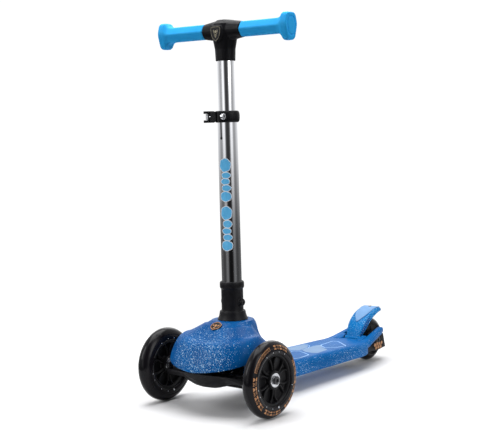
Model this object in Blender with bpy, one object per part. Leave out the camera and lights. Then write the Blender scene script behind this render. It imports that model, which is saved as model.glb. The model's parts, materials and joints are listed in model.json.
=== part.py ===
"""Child's three-wheel kick scooter with lean steering and a height-adjustable bar.

Metres, +Z up, front towards -Y, rider's left towards +X. The origin is on the ground
under the centre of the outline, so the scooter stands on z = 0.
"""
import math

import bmesh
import bpy
from mathutils import Vector

# ---- driving dimensions ----------------------------------------------------------------
FRONT_WHEEL_R = 0.060
REAR_WHEEL_R = 0.040
WHEEL_WIDTH = 0.024
WHEELBASE = 0.4394
TRACK_HALF = 0.1086
LENGTH = FRONT_WHEEL_R + WHEELBASE + REAR_WHEEL_R
FRONT_Y = FRONT_WHEEL_R - LENGTH / 2
REAR_Y = FRONT_Y + WHEELBASE
COLUMN_Y = FRONT_Y + 0.0462
GAP = 0.0003
RUNNING = 0.00008

# front end
LEAN_Z = 0.047
KINGPIN_X = 0.072
ARM_LENGTH = 0.016
TIE_ROD_Z = 0.061
FORK_LOW = 0.048
FORK_HIGH = 0.071
FORK_PLATE = 0.004
BEAM_HALF = 0.009
BEAM_TOP = 0.055
HUB_FRONT = -0.0090
HUB_REAR = 0.0255
COWL_HALF = 0.083
HOOD_TOP = 0.1372
HOOD_A = 0.082
HOOD_B = 0.058
NECK_R = 0.0335
HOOD_WALL = 0.0028

# column and bar
LOWER_TUBE_R = 0.0160
LOWER_TUBE_BORE = 0.0142
UPPER_TUBE_R = 0.0138
UPPER_TUBE_BORE = 0.0123
TUBE_FOOT = 0.1150
CLAMP_LOW = 0.4540
CLAMP_HIGH = 0.4727
SLIT_END = 0.4293
BAR_Z = 0.5990
T_FOOT = 0.5510
GRIP_START = 0.0375
GRIP_STRAIGHT = 0.1130
BAR_END = 0.1320
GRIP_FLATS = 0.0236
CAM_X = -0.0210
CAM_Y = COLUMN_Y - 0.0220
CAM_Z = (CLAMP_LOW + CLAMP_HIGH) / 2
BUTTON_Z = 0.1660
BADGE_Z = 0.5930

# deck and rear end
DECK_TOP = 0.0566
DECK_TOP_SLOPE = -0.0315
DECK_UNDER = 0.0276
DECK_UNDER_SLOPE = -0.0125
SCREW_X = 0.022
SCREW_Y = FRONT_Y + 0.142
FORK_INNER = 0.0152
FORK_OUTER = 0.0260
AXLE_SEAT = 0.0218
EAR_OUTER = 0.0222
BRAKE_Y = FRONT_Y + 0.3930
BRAKE_Z = 0.0480

COLOURS = {
    "blue_glitter": ((0.012, 0.140, 0.520, 1), 0.35, 0.0),
    "brake_blue": ((0.014, 0.225, 0.610, 1), 0.35, 0.0),
    "light_blue": ((0.330, 0.580, 0.920, 1), 0.50, 0.0),
    "grip_blue": ((0.045, 0.400, 0.900, 1), 0.55, 0.0),
    "black_plastic": ((0.012, 0.012, 0.014, 1), 0.45, 0.0),
    "wheel_black": ((0.010, 0.010, 0.012, 1), 0.35, 0.0),
    "tyre_black": ((0.010, 0.010, 0.012, 1), 0.20, 0.0),
    "black_steel": ((0.020, 0.020, 0.022, 1), 0.40, 0.0),
    "chrome": ((0.800, 0.800, 0.820, 1), 0.12, 1.0),
    "steel": ((0.550, 0.550, 0.560, 1), 0.30, 1.0),
    "bronze": ((0.520, 0.320, 0.140, 1), 0.40, 1.0),
    "copper_print": ((0.500, 0.230, 0.090, 1), 0.40, 0.0),
}


# ---- tools -----------------------------------------------------------------------------
def material(name):
    """The named finish, made once."""
    found = bpy.data.materials.get(name)
    if found:
        return found
    colour, roughness, metallic = COLOURS[name]
    made = bpy.data.materials.new(name)
    made.use_nodes = True
    shader = made.node_tree.nodes["Principled BSDF"]
    shader.inputs["Base Color"].default_value = colour
    shader.inputs["Roughness"].default_value = roughness
    shader.inputs["Metallic"].default_value = metallic
    return made


def add_object(name, verts, faces, finish, origin=(0, 0, 0)):
    """A named object from world coordinates, with its origin at the given point."""
    base = Vector(origin)
    mesh = bpy.data.meshes.new(name)
    mesh.from_pydata([Vector(v) - base for v in verts], [], faces)
    tidy = bmesh.new()
    tidy.from_mesh(mesh)
    bmesh.ops.recalc_face_normals(tidy, faces=tidy.faces)
    tidy.to_mesh(mesh)
    tidy.free()
    mesh.shade_smooth()
    mesh.set_sharp_from_angle(angle=math.radians(35))
    made = bpy.data.objects.new(name, mesh)
    made.location = base
    bpy.context.collection.objects.link(made)
    if finish:
        mesh.materials.append(material(finish))
    return made


def cutter(made):
    """Marks a helper solid that only shapes another one."""
    made.hide_render = True
    made.display_type = "WIRE"
    return made


def boolean(target, tool, operation="DIFFERENCE"):
    modifier = target.modifiers.new(operation.lower(), "BOOLEAN")
    modifier.operation = operation
    modifier.solver = "EXACT"
    modifier.object = cutter(tool)
    return target


def skin(rings, closed_rows=False, closed_rings=True, caps=True):
    """Faces between rings of equal length; the rows close on themselves for a torus."""
    count = len(rings[0])
    verts = [point for ring in rings for point in ring]
    faces = []
    rows = len(rings) if closed_rows else len(rings) - 1
    columns = count if closed_rings else count - 1
    for row in range(rows):
        here = row * count
        there = ((row + 1) % len(rings)) * count
        for col in range(columns):
            right = (col + 1) % count
            faces.append((here + col, here + right, there + right, there + col))
    if caps and not closed_rows:
        faces.append(tuple(range(count)))
        faces.append(tuple((len(rings) - 1) * count + i for i in range(count)))
    return verts, faces


def frame_for(axis):
    """Two directions square to an axis, and the axis itself."""
    return {
        "X": (Vector((0, 1, 0)), Vector((0, 0, 1)), Vector((1, 0, 0))),
        "Y": (Vector((0, 0, 1)), Vector((1, 0, 0)), Vector((0, 1, 0))),
        "Z": (Vector((1, 0, 0)), Vector((0, 1, 0)), Vector((0, 0, 1))),
    }[axis]


def turned_ring(name, profile, finish, centre, axis="Z", segments=16):
    """A closed (radius, height) profile turned about an axis that it doesn't touch."""
    u, v, w = frame_for(axis)
    base = Vector(centre)
    rings = []
    for radius, height in profile:
        ring = []
        for i in range(segments):
            turn = 2 * math.pi * i / segments
            spoke = u * math.cos(turn) + v * math.sin(turn)
            ring.append(base + spoke * radius + w * height)
        rings.append(ring)
    verts, faces = skin(rings, closed_rows=True)
    return add_object(name, verts, faces, finish, centre)


def turned(name, profile, finish, centre, axis="Z", segments=16):
    """A solid whose (radius, height) profile starts and ends on the axis."""
    u, v, w = frame_for(axis)
    base = Vector(centre)
    verts = [base + w * profile[0][1]]
    faces = []
    inner = profile[1:-1]
    for radius, height in inner:
        for i in range(segments):
            turn = 2 * math.pi * i / segments
            spoke = u * math.cos(turn) + v * math.sin(turn)
            verts.append(base + spoke * radius + w * height)
    verts.append(base + w * profile[-1][1])
    last = len(verts) - 1
    tail = 1 + (len(inner) - 1) * segments
    for i in range(segments):
        j = (i + 1) % segments
        faces.append((0, 1 + j, 1 + i))
        faces.append((last, tail + i, tail + j))
        for row in range(len(inner) - 1):
            here = 1 + row * segments
            faces.append((here + i, here + j, here + segments + j, here + segments + i))
    return add_object(name, verts, faces, finish, centre)


def rod(name, radius, low, high, finish, centre, axis="Z", segments=16):
    return turned(name, [(0, low), (radius, low), (radius, high), (0, high)], finish, centre, axis, segments)


def tube(name, outer, bore, low, high, finish, centre, axis="Z", segments=16):
    profile = [(bore, low), (outer, low), (outer, high), (bore, high)]
    return turned_ring(name, profile, finish, centre, axis, segments)


def hex_nut(name, radius, shaft, low, high, centre, axis):
    """A plain nut: hexagonal outside, with a round bore that clears the shaft."""
    u, v, w = frame_for(axis)
    base = Vector(centre)
    bore = (shaft + 0.0001) / math.cos(math.pi / 12)
    rings = []
    for outer, height in ((False, low), (True, low), (True, high), (False, high)):
        ring = []
        for i in range(12):
            turn = math.pi * i / 6
            reach = bore
            if outer:
                reach = radius if i % 2 == 0 else radius * math.cos(math.pi / 6)
            ring.append(base + u * (reach * math.cos(turn)) + v * (reach * math.sin(turn)) + w * height)
        rings.append(ring)
    verts, faces = skin(rings, closed_rows=True)
    return add_object(name, verts, faces, "steel", centre)


def prism(name, outline, low, high, finish, axis="X", origin=(0, 0, 0)):
    """An outline in the plane square to the axis, swept along it. X: (y, z), Y: (x, z), Z: (x, y)."""
    place = {
        "X": lambda a, b, c: (c, a, b),
        "Y": lambda a, b, c: (a, c, b),
        "Z": lambda a, b, c: (a, b, c),
    }[axis]
    rings = [[place(a, b, level) for a, b in outline] for level in (low, high)]
    verts, faces = skin(rings)
    return add_object(name, verts, faces, finish, origin)


def box(name, low, high, finish=None, origin=(0, 0, 0)):
    outline = [(low[0], low[1]), (high[0], low[1]), (high[0], high[1]), (low[0], high[1])]
    return prism(name, outline, low[2], high[2], finish, "Z", origin)


def mirrored(outline):
    """A right half outline, listed from the bottom up, closed by its mirror image."""
    return outline + [(-a, b) for a, b in reversed(outline)]


def smooth_step(value, start, end):
    t = min(1.0, max(0.0, (value - start) / (end - start)))
    return t * t * (3 - 2 * t)


def table(pairs, value):
    """Straight-line reading between the points of a curve."""
    for (x0, y0), (x1, y1) in zip(pairs, pairs[1:]):
        if value <= x1:
            return y0 + (y1 - y0) * (value - x0) / (x1 - x0)
    return pairs[-1][1]


def coil(name, radius, wire, low, high, turns, finish, centre, axis="Z", steps=10, sides=4):
    """A helical spring with blunt ends."""
    u, v, w = frame_for(axis)
    base = Vector(centre)
    rings = []
    total = int(turns * steps)
    for i in range(total + 1):
        turn = 2 * math.pi * i / steps
        out = u * math.cos(turn) + v * math.sin(turn)
        heart = base + out * radius + w * (low + (high - low) * i / total)
        ring = []
        for k in range(sides):
            spin = 2 * math.pi * (k + 0.5) / sides
            ring.append(heart + out * (wire * math.cos(spin)) + w * (wire * math.sin(spin)))
        rings.append(ring)
    verts, faces = skin(rings)
    return add_object(name, verts, faces, finish, centre)


# ---- wheels ----------------------------------------------------------------------------
def tyre(name, centre, radius, seat, segments):
    """A cast wheel tread: round crown, flat sidewalls and a flat seat on its rim."""
    half = WHEEL_WIDTH / 2
    crown = [(radius, 0), (radius - 0.0012, 0.0050), (radius - 0.0042, 0.0090), (radius - 0.0090, half)]
    side = [(seat, half - 0.0010)]
    right = crown + side
    left = [(r, -x) for r, x in reversed(right) if x > 0]
    return turned_ring(name, right + left, "tyre_black", centre, "X", segments)


def front_rim(name, centre, side):
    """A hub and a rim ring joined by a web, with six pairs of ribs that open outwards."""
    hub, edge, bore = 0.0145, 0.0400, 0.0113
    face = 0.0115
    profile = [
        (bore, -face), (hub, -face), (hub, -0.003), (0.0350, -0.003), (0.0362, -0.0098),
        (edge, -0.0098), (edge, 0.0098), (0.0362, 0.0098), (0.0350, 0.003), (hub, 0.003),
        (hub, face), (bore, face),
    ]
    rim = turned_ring(name, profile, "wheel_black", centre, "X", 30)
    verts, faces = [], []
    for pair in range(6):
        for lean in (-1, 1):
            first = math.radians(60 * pair + 9 * lean)
            last = math.radians(60 * pair + 15 * lean)
            start = len(verts)
            for radius, turn, half in ((0.0135, first, 0.0013), (0.0358, last, 0.0012)):
                out = Vector((0, math.cos(turn), math.sin(turn)))
                across = Vector((0, -math.sin(turn), math.cos(turn)))
                for level in (-0.0065, 0.0065):
                    for edge_side in (-1, 1):
                        point = Vector(centre) + out * radius + across * (half * edge_side)
                        verts.append(point + Vector((level * side, 0, 0)))
            end = start + 4
            faces += [(start, start + 1, end + 1, end), (start + 3, start + 2, end + 2, end + 3)]
            faces += [(start + 2, start, end, end + 2), (start + 1, start + 3, end + 3, end + 1)]
            faces += [(start, start + 2, start + 3, start + 1), (end, end + 1, end + 3, end + 2)]
    ribs = add_object(name + "_ribs", verts, faces, None)
    return boolean(rim, ribs, "UNION")


def rear_rim(name, centre):
    profile = [
        (0.0113, -0.0115), (0.0150, -0.0115), (0.0165, -0.0060), (0.0235, -0.0060), (0.0275, -0.0100),
        (0.0275, 0.0100), (0.0235, 0.0060), (0.0165, 0.0060), (0.0150, 0.0115), (0.0113, 0.0115),
    ]
    return turned_ring(name, profile, "wheel_black", centre, "X", 28)


def bearing(name, centre, low):
    """A sealed ball bearing, 22 mm across, 7 mm wide, for an 8 mm axle."""
    return tube(name, 0.0110, 0.0040 + RUNNING, low, low + 0.0070, "steel", centre, "X", 18)


def front_wheel(side, word):
    centre = (side * TRACK_HALF, FRONT_Y, FRONT_WHEEL_R)
    tyre("front_tyre_" + word, centre, FRONT_WHEEL_R, 0.0400 + GAP, 36)
    front_rim("front_rim_" + word, centre, side)
    bearing("front_bearing_outer_" + word, centre, 0.0042 if side > 0 else -0.0112)
    bearing("front_bearing_inner_" + word, centre, -0.0112 if side > 0 else 0.0042)


def rear_wheel():
    centre = (0, REAR_Y, REAR_WHEEL_R)
    tyre("rear_tyre", centre, REAR_WHEEL_R, 0.0275 + GAP, 30)
    rear_rim("rear_rim", centre)
    bearing("rear_bearing_left", centre, 0.0042)
    bearing("rear_bearing_right", centre, -0.0112)


# ---- lean steering ---------------------------------------------------------------------
def axle_beam():
    """A shallow V-shaped beam with a fork for a steering knuckle at each end."""
    inner = 0.0585
    eye = KINGPIN_X - 0.0082
    tip = KINGPIN_X + 0.0080
    right = [
        (0.0110, 0.0385), (0.0300, 0.0432), (inner, 0.0478), (eye, FORK_LOW), (tip, FORK_LOW),
        (tip, FORK_LOW + FORK_PLATE), (eye, FORK_LOW + FORK_PLATE), (eye, FORK_HIGH - FORK_PLATE),
        (tip, FORK_HIGH - FORK_PLATE), (tip, FORK_HIGH), (inner, FORK_HIGH), (0.0480, BEAM_TOP),
        (0.0110, BEAM_TOP),
    ]
    beam = prism("axle_beam", mirrored(right), FRONT_Y - BEAM_HALF, FRONT_Y + BEAM_HALF, "black_plastic",
                 "Y", (0, FRONT_Y, LEAN_Z))
    pivot = (0, FRONT_Y, LEAN_Z)
    boolean(beam, rod("beam_hub", 0.0095, HUB_FRONT, HUB_REAR, None, pivot, "Y", 20), "UNION")
    boolean(beam, rod("beam_bore", 0.0062 + GAP, -0.03, 0.04, None, pivot, "Y", 20))
    for side in (-1, 1):
        spot = (side * KINGPIN_X, FRONT_Y, 0)
        boolean(beam, rod("beam_eye_bore", 0.0030 + RUNNING, 0.030, 0.080, None, spot))
    return beam


def kingpin(side, word):
    centre = (side * KINGPIN_X, FRONT_Y, 0)
    head = FORK_LOW - GAP
    profile = [(0, head - 0.0018), (0.0045, head - 0.0018), (0.0045, head), (0.0030, head),
               (0.0030, FORK_HIGH + 0.0012), (0, FORK_HIGH + 0.0012)]
    return turned("kingpin_" + word, profile, "steel", centre)


def knuckle(side, word):
    """A swivelling eye with the wheel's spindle boss and a forward steering arm."""
    centre = Vector((side * KINGPIN_X, FRONT_Y, 0))
    low = FORK_LOW + FORK_PLATE + GAP
    high = FORK_HIGH - FORK_PLATE - GAP
    body = rod("knuckle_" + word, 0.0075, low, high, "black_plastic", centre, "Z", 20)
    boss_start, boss_end = KINGPIN_X + 0.002, 0.0965
    spindle = (0, FRONT_Y, FRONT_WHEEL_R)
    ends = sorted((side * boss_start, side * boss_end))
    boolean(body, rod("knuckle_boss", 0.0053, ends[0], ends[1], None, spindle, "X"), "UNION")
    arm_y = FRONT_Y - ARM_LENGTH
    arm = [(-0.0045, FRONT_Y), (-0.0045, arm_y), (-0.0030, arm_y - 0.0035), (0.0030, arm_y - 0.0035),
           (0.0045, arm_y), (0.0045, FRONT_Y)]
    outline = [(side * KINGPIN_X + x, y) for x, y in arm]
    boolean(body, prism("knuckle_arm", outline, low + 0.0005, TIE_ROD_Z - 0.0035, None, "Z"), "UNION")
    boolean(body, rod("knuckle_bore", 0.0030 + RUNNING, 0.03, 0.09, None, centre))
    pin = (side * KINGPIN_X, arm_y, 0)
    boolean(body, rod("knuckle_arm_bore", 0.0024 + RUNNING, 0.03, 0.09, None, pin))
    hole = sorted((side * 0.0840, side * 0.1100))
    boolean(body, rod("knuckle_thread", 0.0040 + GAP, hole[0], hole[1], None, spindle, "X"))
    return body


def axle_bolt(side, word):
    """The wheel's axle: a bolt with a domed head that ends in its knuckle."""
    centre = (0, FRONT_Y, FRONT_WHEEL_R)
    reach = TRACK_HALF + 0.0118
    profile = [(0, 0.0845), (0.0040, 0.0845), (0.0040, reach), (0.0066, reach), (0.0066, reach + 0.0015),
               (0.0050, reach + 0.0030), (0, reach + 0.0030)]
    return turned("axle_bolt_" + word, [(r, side * x) for r, x in profile], "steel", centre, "X")


def tie_rod():
    """The link between the steering arms, with the driver's slot in its middle plate."""
    y = FRONT_Y - ARM_LENGTH
    x = KINGPIN_X
    right = [(0.0120, y - 0.0090), (0.0160, y - 0.0036), (x + 0.002, y - 0.0036), (x + 0.0046, y),
             (x + 0.002, y + 0.0036), (0.0160, y + 0.0036), (0.0120, y + 0.0090)]
    low, high = TIE_ROD_Z - 0.003, TIE_ROD_Z + 0.003
    link = prism("tie_rod", mirrored(right), low, high, "black_steel", "Z", (x, y, TIE_ROD_Z))
    slot = box("tie_rod_slot", (-0.0034, y - 0.0060, low - 0.01), (0.0034, y + 0.0060, high + 0.01))
    boolean(link, slot)
    for side in (-1, 1):
        pin = rod("tie_rod_pin", 0.0024, TIE_ROD_Z - 0.0095, TIE_ROD_Z, None, (side * x, y, 0))
        boolean(link, pin, "UNION")
    return link


def lean_pivot():
    """The pin, bush and nut of the lean axis, its two return springs and the steering driver."""
    centre = (0, FRONT_Y, LEAN_Z)
    tip = HUB_FRONT - 0.0005
    head = [(0, tip - 0.0038), (0.0052, tip - 0.0038), (0.0065, tip - 0.0028), (0.0065, tip), (0.0050, tip),
            (0.0050, 0.0480), (0, 0.0480)]
    turned("lean_pin", head, "steel", centre, "Y")
    tube("lean_bush", 0.0062, 0.0050 + RUNNING, HUB_FRONT, HUB_REAR, "bronze", centre, "Y", 20)
    hex_nut("lean_nut", 0.0066, 0.0050, 0.0383, 0.0445, centre, "Y")
    for side, word in ((1, "left"), (-1, "right")):
        coil("lean_spring_" + word, 0.0060, 0.0012, BEAM_TOP + 0.0018, 0.0783, 4, "steel",
             (side * 0.0260, FRONT_Y, 0), steps=8, sides=4)
    pin = (0, FRONT_Y - ARM_LENGTH, 0)
    profile = [(0, 0.0568), (0.0026, 0.0568), (0.0026, 0.0770), (0.0050, 0.0770), (0.0050, 0.0800 - GAP),
               (0, 0.0800 - GAP)]
    turned("drive_pin", profile, "steel", pin)


def cowl_floor(x, y):
    """The height of the bowl's underside at a point, from its distances to the centre lines."""
    across = table([(0, 0), (0.015, 0.0005), (0.031, 0.0045), (0.046, 0.0100), (0.083, 0.0103)], abs(x))
    along = table([(0, 0), (0.0098, 0), (0.022, 0.0012), (0.040, 0.0080), (0.050, 0.0175)], abs(y))
    return 0.0372 + across + along * (1 + min(abs(x), 0.040) / 0.050)


def lower_cowl():
    """The black bowl under the nose: it rides on the axle beam."""
    reach, depth, wall, back = 0.0940, 0.0530, 0.0020, BEAM_HALF + 0.0008
    outer_end, inner_end = COWL_HALF, COWL_HALF - 0.0022
    columns = [outer_end, inner_end, inner_end - 0.0002, 0.0700, 0.0540, 0.0400, 0.0280, 0.0140]
    stations = columns + [0.0] + [-x for x in reversed(columns)]
    rings = []
    for x in stations:
        rim = depth * math.sqrt(1 - (x / reach) ** 2)
        top = table([(0, 0.0665), (0.040, 0.0655), (0.060, 0.0640), (0.083, 0.0600)], abs(x))
        closed = abs(x) >= inner_end
        knee = min(top - 0.0020, cowl_floor(x, rim - 0.0030))
        outer = [(rim, top), (rim - 0.0006, (top + knee) / 2), (rim - 0.0030, knee)]
        inner = [(rim - wall, top), (rim - wall - 0.0008, (top + knee) / 2), (rim - 0.0056, knee + 0.0008)]
        for share in (0.75, 0.5, 0.25, 0.0):
            y = back + (rim - 0.0060 - back) * share
            outer.append((y, cowl_floor(x, y)))
            inner.append((y, cowl_floor(x, y) + wall))
        if closed:
            inner = [(y, top) for y, _ in inner]
        ring = [(x, FRONT_Y - y, z) for y, z in outer + inner[::-1]]
        rings.append(ring)
    verts, faces = skin(rings)
    return add_object("lower_cowl", verts, faces, "black_plastic")


# ---- nose and steering housing -----------------------------------------------------------
def hood_outline():
    """The nose's lower edge in plan and its height: half an ellipse, then the tail to the deck."""
    points = []
    for step in range(0, 11):
        turn = math.radians(9 * step)
        height = 0.0685 + 0.0155 * smooth_step(turn, 0, math.pi / 2)
        points.append((HOOD_A * math.sin(turn), -HOOD_B * math.cos(turn), height))
    start, pull, push, end = (0.082, 0.0), (0.082, 0.040), (0.056, 0.064), (0.050, 0.104)
    for step in range(1, 6):
        t = step / 5
        weights = ((1 - t) ** 3, 3 * t * (1 - t) ** 2, 3 * t * t * (1 - t), t ** 3)
        x = sum(w * p[0] for w, p in zip(weights, (start, pull, push, end)))
        y = sum(w * p[1] for w, p in zip(weights, (start, pull, push, end)))
        points.append((x, y, 0.0840 - 0.0246 * smooth_step(t, 0.1, 1)))
    points += [(0.0455, 0.1145, 0.0592), (0.0300, 0.1180, 0.0592), (0.0120, 0.1185, 0.0592)]
    mirror = [(-x, y, z) for x, y, z in reversed(points[1:])]
    return points + mirror


FRONT_FALL = [(0, 1.0), (0.065, 0.955), (0.28, 0.81), (0.557, 0.65), (0.687, 0.61), (0.8, 0.50), (0.9, 0.32),
              (0.977, 0.12), (1, 0)]
REAR_FALL = [(0, 1.0), (0.1, 0.90), (0.19, 0.70), (0.26, 0.60), (0.39, 0.51), (0.6, 0.38), (0.8, 0.24),
             (1, 0)]


def hood_point(x, y, low, share):
    """A point on the nose between its neck (share 0) and its lower edge (share 1)."""
    axis_y = COLUMN_Y - FRONT_Y
    turn = math.atan2(x, -(y - axis_y))
    neck = (NECK_R * math.sin(turn), axis_y - NECK_R * math.cos(turn))
    rear = smooth_step(abs(turn), math.radians(75), math.radians(125))
    fall = table(FRONT_FALL, share) * (1 - rear) + table(REAR_FALL, share) * rear
    px = neck[0] + (x - neck[0]) * share
    py = neck[1] + (y - neck[1]) * share
    return (px, FRONT_Y + py, low + (HOOD_TOP - low) * fall)


def nose_cover():
    outline = hood_outline()
    axis_y = COLUMN_Y - FRONT_Y
    hole = []
    for x, y, low in outline:
        turn = math.atan2(x, -(y - axis_y))
        hole.append((0.0216 * math.sin(turn), FRONT_Y + axis_y - 0.0216 * math.cos(turn), HOOD_TOP))
    rings = [hole]
    for share in (0.0, 0.08, 0.28, 0.56, 0.70, 0.82, 0.92, 1.0):
        rings.append([hood_point(x, y, low, share) for x, y, low in outline])
    verts, faces = skin(rings, caps=False)
    cover = add_object("nose_cover", verts, faces, "blue_glitter")
    shell = cover.modifiers.new("wall", "SOLIDIFY")
    shell.thickness = HOOD_WALL
    shell.offset = -1
    return cover


def nose_badge():
    """A plain round plate that follows the front of the neck."""
    axis_y = COLUMN_Y - FRONT_Y
    heart = (0, 0.0035)
    rings = []
    for size, lift in ((0.4, 0.0005), (1.0, 0.0005), (1.0, 0.0017), (0.4, 0.0019)):
        ring = []
        for i in range(20):
            spin = 2 * math.pi * i / 20
            x = heart[0] + 0.0105 * size * math.cos(spin)
            y = heart[1] + 0.0080 * size * math.sin(spin)
            share = (math.hypot(x, y - axis_y) - NECK_R) / 0.0707
            height = 0.0695 + (HOOD_TOP - 0.0695) * table(FRONT_FALL, share)
            ring.append((x, FRONT_Y + y - 0.5 * lift, height + lift))
        rings.append(ring)
    verts, faces = skin(rings)
    return add_object("nose_badge", verts, faces, "copper_print", (0, FRONT_Y + heart[1], 0.1320))


def steering_housing():
    """The inner frame: a channel that holds the column, the lean pin and the deck's tongue."""
    y = FRONT_Y
    side = [
        (y + 0.026, 0.0300), (y + 0.046, 0.0295), (y + 0.100, 0.0280), (y + 0.158, 0.0273),
        (y + 0.158, 0.0330), (y + 0.1115, 0.0330), (y + 0.1115, 0.0540), (y + 0.084, 0.0860),
        (y - 0.030, 0.0860), (y - 0.030, 0.0800), (y + 0.026, 0.0800),
    ]
    frame = prism("steering_housing", side, -0.036, 0.036, "black_plastic", "X")
    boolean(frame, box("housing_hollow", (-0.032, y + 0.038, 0.0330), (0.032, y + 0.130, 0.0800)))
    pillar = rod("housing_pillar", 0.0240, 0.0830, 0.1057, None, (0, COLUMN_Y, 0), "Z", 28)
    boolean(frame, pillar, "UNION")
    boolean(frame, rod("housing_bore", 0.0050 + GAP, 0.020, 0.042, None, (0, y, LEAN_Z), "Y"))
    for sign in (-1, 1):
        spot = (sign * SCREW_X, SCREW_Y, 0)
        boolean(frame, rod("housing_screw_bore", 0.0020 + GAP, 0.02, 0.04, None, spot))
        boolean(frame, rod("housing_screw_seat", 0.0042 + GAP, 0.02, 0.0298, None, spot))
    return frame


def deck_screw(side, word):
    profile = [(0, 0.0275), (0.0036, 0.0275), (0.0042, 0.0282), (0.0042, 0.0295), (0.0020, 0.0295),
               (0.0020, 0.0400), (0, 0.0400)]
    return turned("deck_screw_" + word, profile, "steel", (side * SCREW_X, SCREW_Y, 0), "Z", 12)


def column_socket():
    """The flared cup that the steering column drops into, with the button's boss."""
    profile = [
        (0, 0.1060), (0.0210, 0.1060), (0.0210, HOOD_TOP + GAP), (0.0247, HOOD_TOP + GAP), (0.0212, 0.1450),
        (0.0194, 0.1516), (0.0177, 0.1524), (0.0177, 0.1882), (0.0194, 0.1895),
        (0.0194, 0.1980), (0.0182, 0.1992), (0.0163, 0.1992), (0.0163, 0.1120), (0, 0.1120),
    ]
    socket = turned("column_socket", profile, "black_plastic", (0, COLUMN_Y, 0), "Z", 20)
    spot = (0, COLUMN_Y, BUTTON_Z)
    boolean(socket, tube("socket_boss", 0.0068, 0.0040, 0.0168, 0.0190, None, spot, "X"), "UNION")
    boolean(socket, rod("socket_button_bore", 0.0041, 0.0100, 0.0250, None, spot, "X"))
    return socket


def release_button():
    spot = (0.0190, COLUMN_Y, BUTTON_Z)
    profile = [(0, -0.0010), (0.0038, -0.0010), (0.0038, 0.0016), (0.0056, 0.0016), (0.0056, 0.0028),
               (0.0046, 0.0036), (0, 0.0038)]
    turned("release_button", profile, "black_plastic", spot, "X")
    tube("button_spring", 0.0054, 0.0044, 0.0003, 0.0013, "steel", spot, "X")


# ---- column ----------------------------------------------------------------------------
def lower_tube():
    centre = (0, COLUMN_Y, 0)
    top = CLAMP_HIGH - 0.0010
    shell = tube("lower_tube", LOWER_TUBE_R, LOWER_TUBE_BORE, TUBE_FOOT, top, "chrome", centre, "Z", 24)
    slit = box("tube_slit", (-0.0012, COLUMN_Y - 0.022, SLIT_END), (0.0012, COLUMN_Y - 0.008, 0.49))
    boolean(shell, slit)
    boolean(shell, rod("tube_slit_end", 0.0023, -0.022, -0.008, None, (0, COLUMN_Y, SLIT_END), "Y", 16))
    return shell


def column_plugs():
    centre = (0, COLUMN_Y, 0)
    foot = [(0, 0.1124), (0.0158, 0.1124), (0.0158, TUBE_FOOT - GAP), (0.0138, TUBE_FOOT - GAP),
            (0.0138, 0.1300), (0, 0.1300)]
    turned("column_foot_plug", foot, "black_plastic", centre)
    guide = [(0, 0.2620), (0.0139, 0.2620), (0.0139, 0.2750 - GAP), (0.0119, 0.2750 - GAP),
             (0.0119, 0.2900), (0, 0.2900)]
    turned("tube_guide_plug", guide, "black_plastic", centre, "Z", 24)


def clamp_band():
    """A split collar with two ears at the front."""
    bore = LOWER_TUBE_R + GAP
    low, high = CLAMP_LOW, CLAMP_HIGH
    profile = [(bore, low), (0.0178, low), (0.0189, low + 0.0045), (0.0189, high - 0.0045),
               (0.0178, high), (bore, high)]
    band = turned_ring("clamp_band", profile, "black_plastic", (0, COLUMN_Y, 0), "Z", 24)
    ear_low = (-0.0130, COLUMN_Y - 0.0275, CAM_Z - 0.0066)
    ear_high = (0.0075, COLUMN_Y - 0.0163, CAM_Z + 0.0066)
    boolean(band, box("clamp_ears", ear_low, ear_high), "UNION")
    boolean(band, box("clamp_bore_clear", (-0.0010, COLUMN_Y - 0.04, 0.44), (0.0020, COLUMN_Y - 0.010, 0.49)))
    boolean(band, rod("clamp_inner", bore, low - 0.01, high + 0.01, None, (0, COLUMN_Y, 0), "Z", 24))
    boolean(band, rod("clamp_bolt_bore", 0.0025 + GAP, -0.04, 0.02, None, (0, CAM_Y, CAM_Z), "X", 16))
    return band


def clamp_hardware():
    """The clamp's cross bolt and the barrel nut that the lever turns on."""
    spot = (0, CAM_Y, CAM_Z)
    profile = [(0, CAM_X + 0.0044), (0.0025, CAM_X + 0.0044), (0.0025, 0.0078), (0.0046, 0.0078),
               (0.0046, 0.0112), (0.0025, 0.0112), (0.0025, 0.0128), (0, 0.0128)]
    turned("clamp_bolt", profile, "steel", spot, "X")
    post = [(0, -0.0088), (0.0020, -0.0088), (0.0020, -0.0046), (0.0040, -0.0046), (0.0040, 0.0046),
            (0.0020, 0.0046), (0.0020, 0.0088), (0, 0.0088)]
    turned("cam_barrel", post, "steel", (CAM_X, CAM_Y, CAM_Z), "Z")


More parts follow.
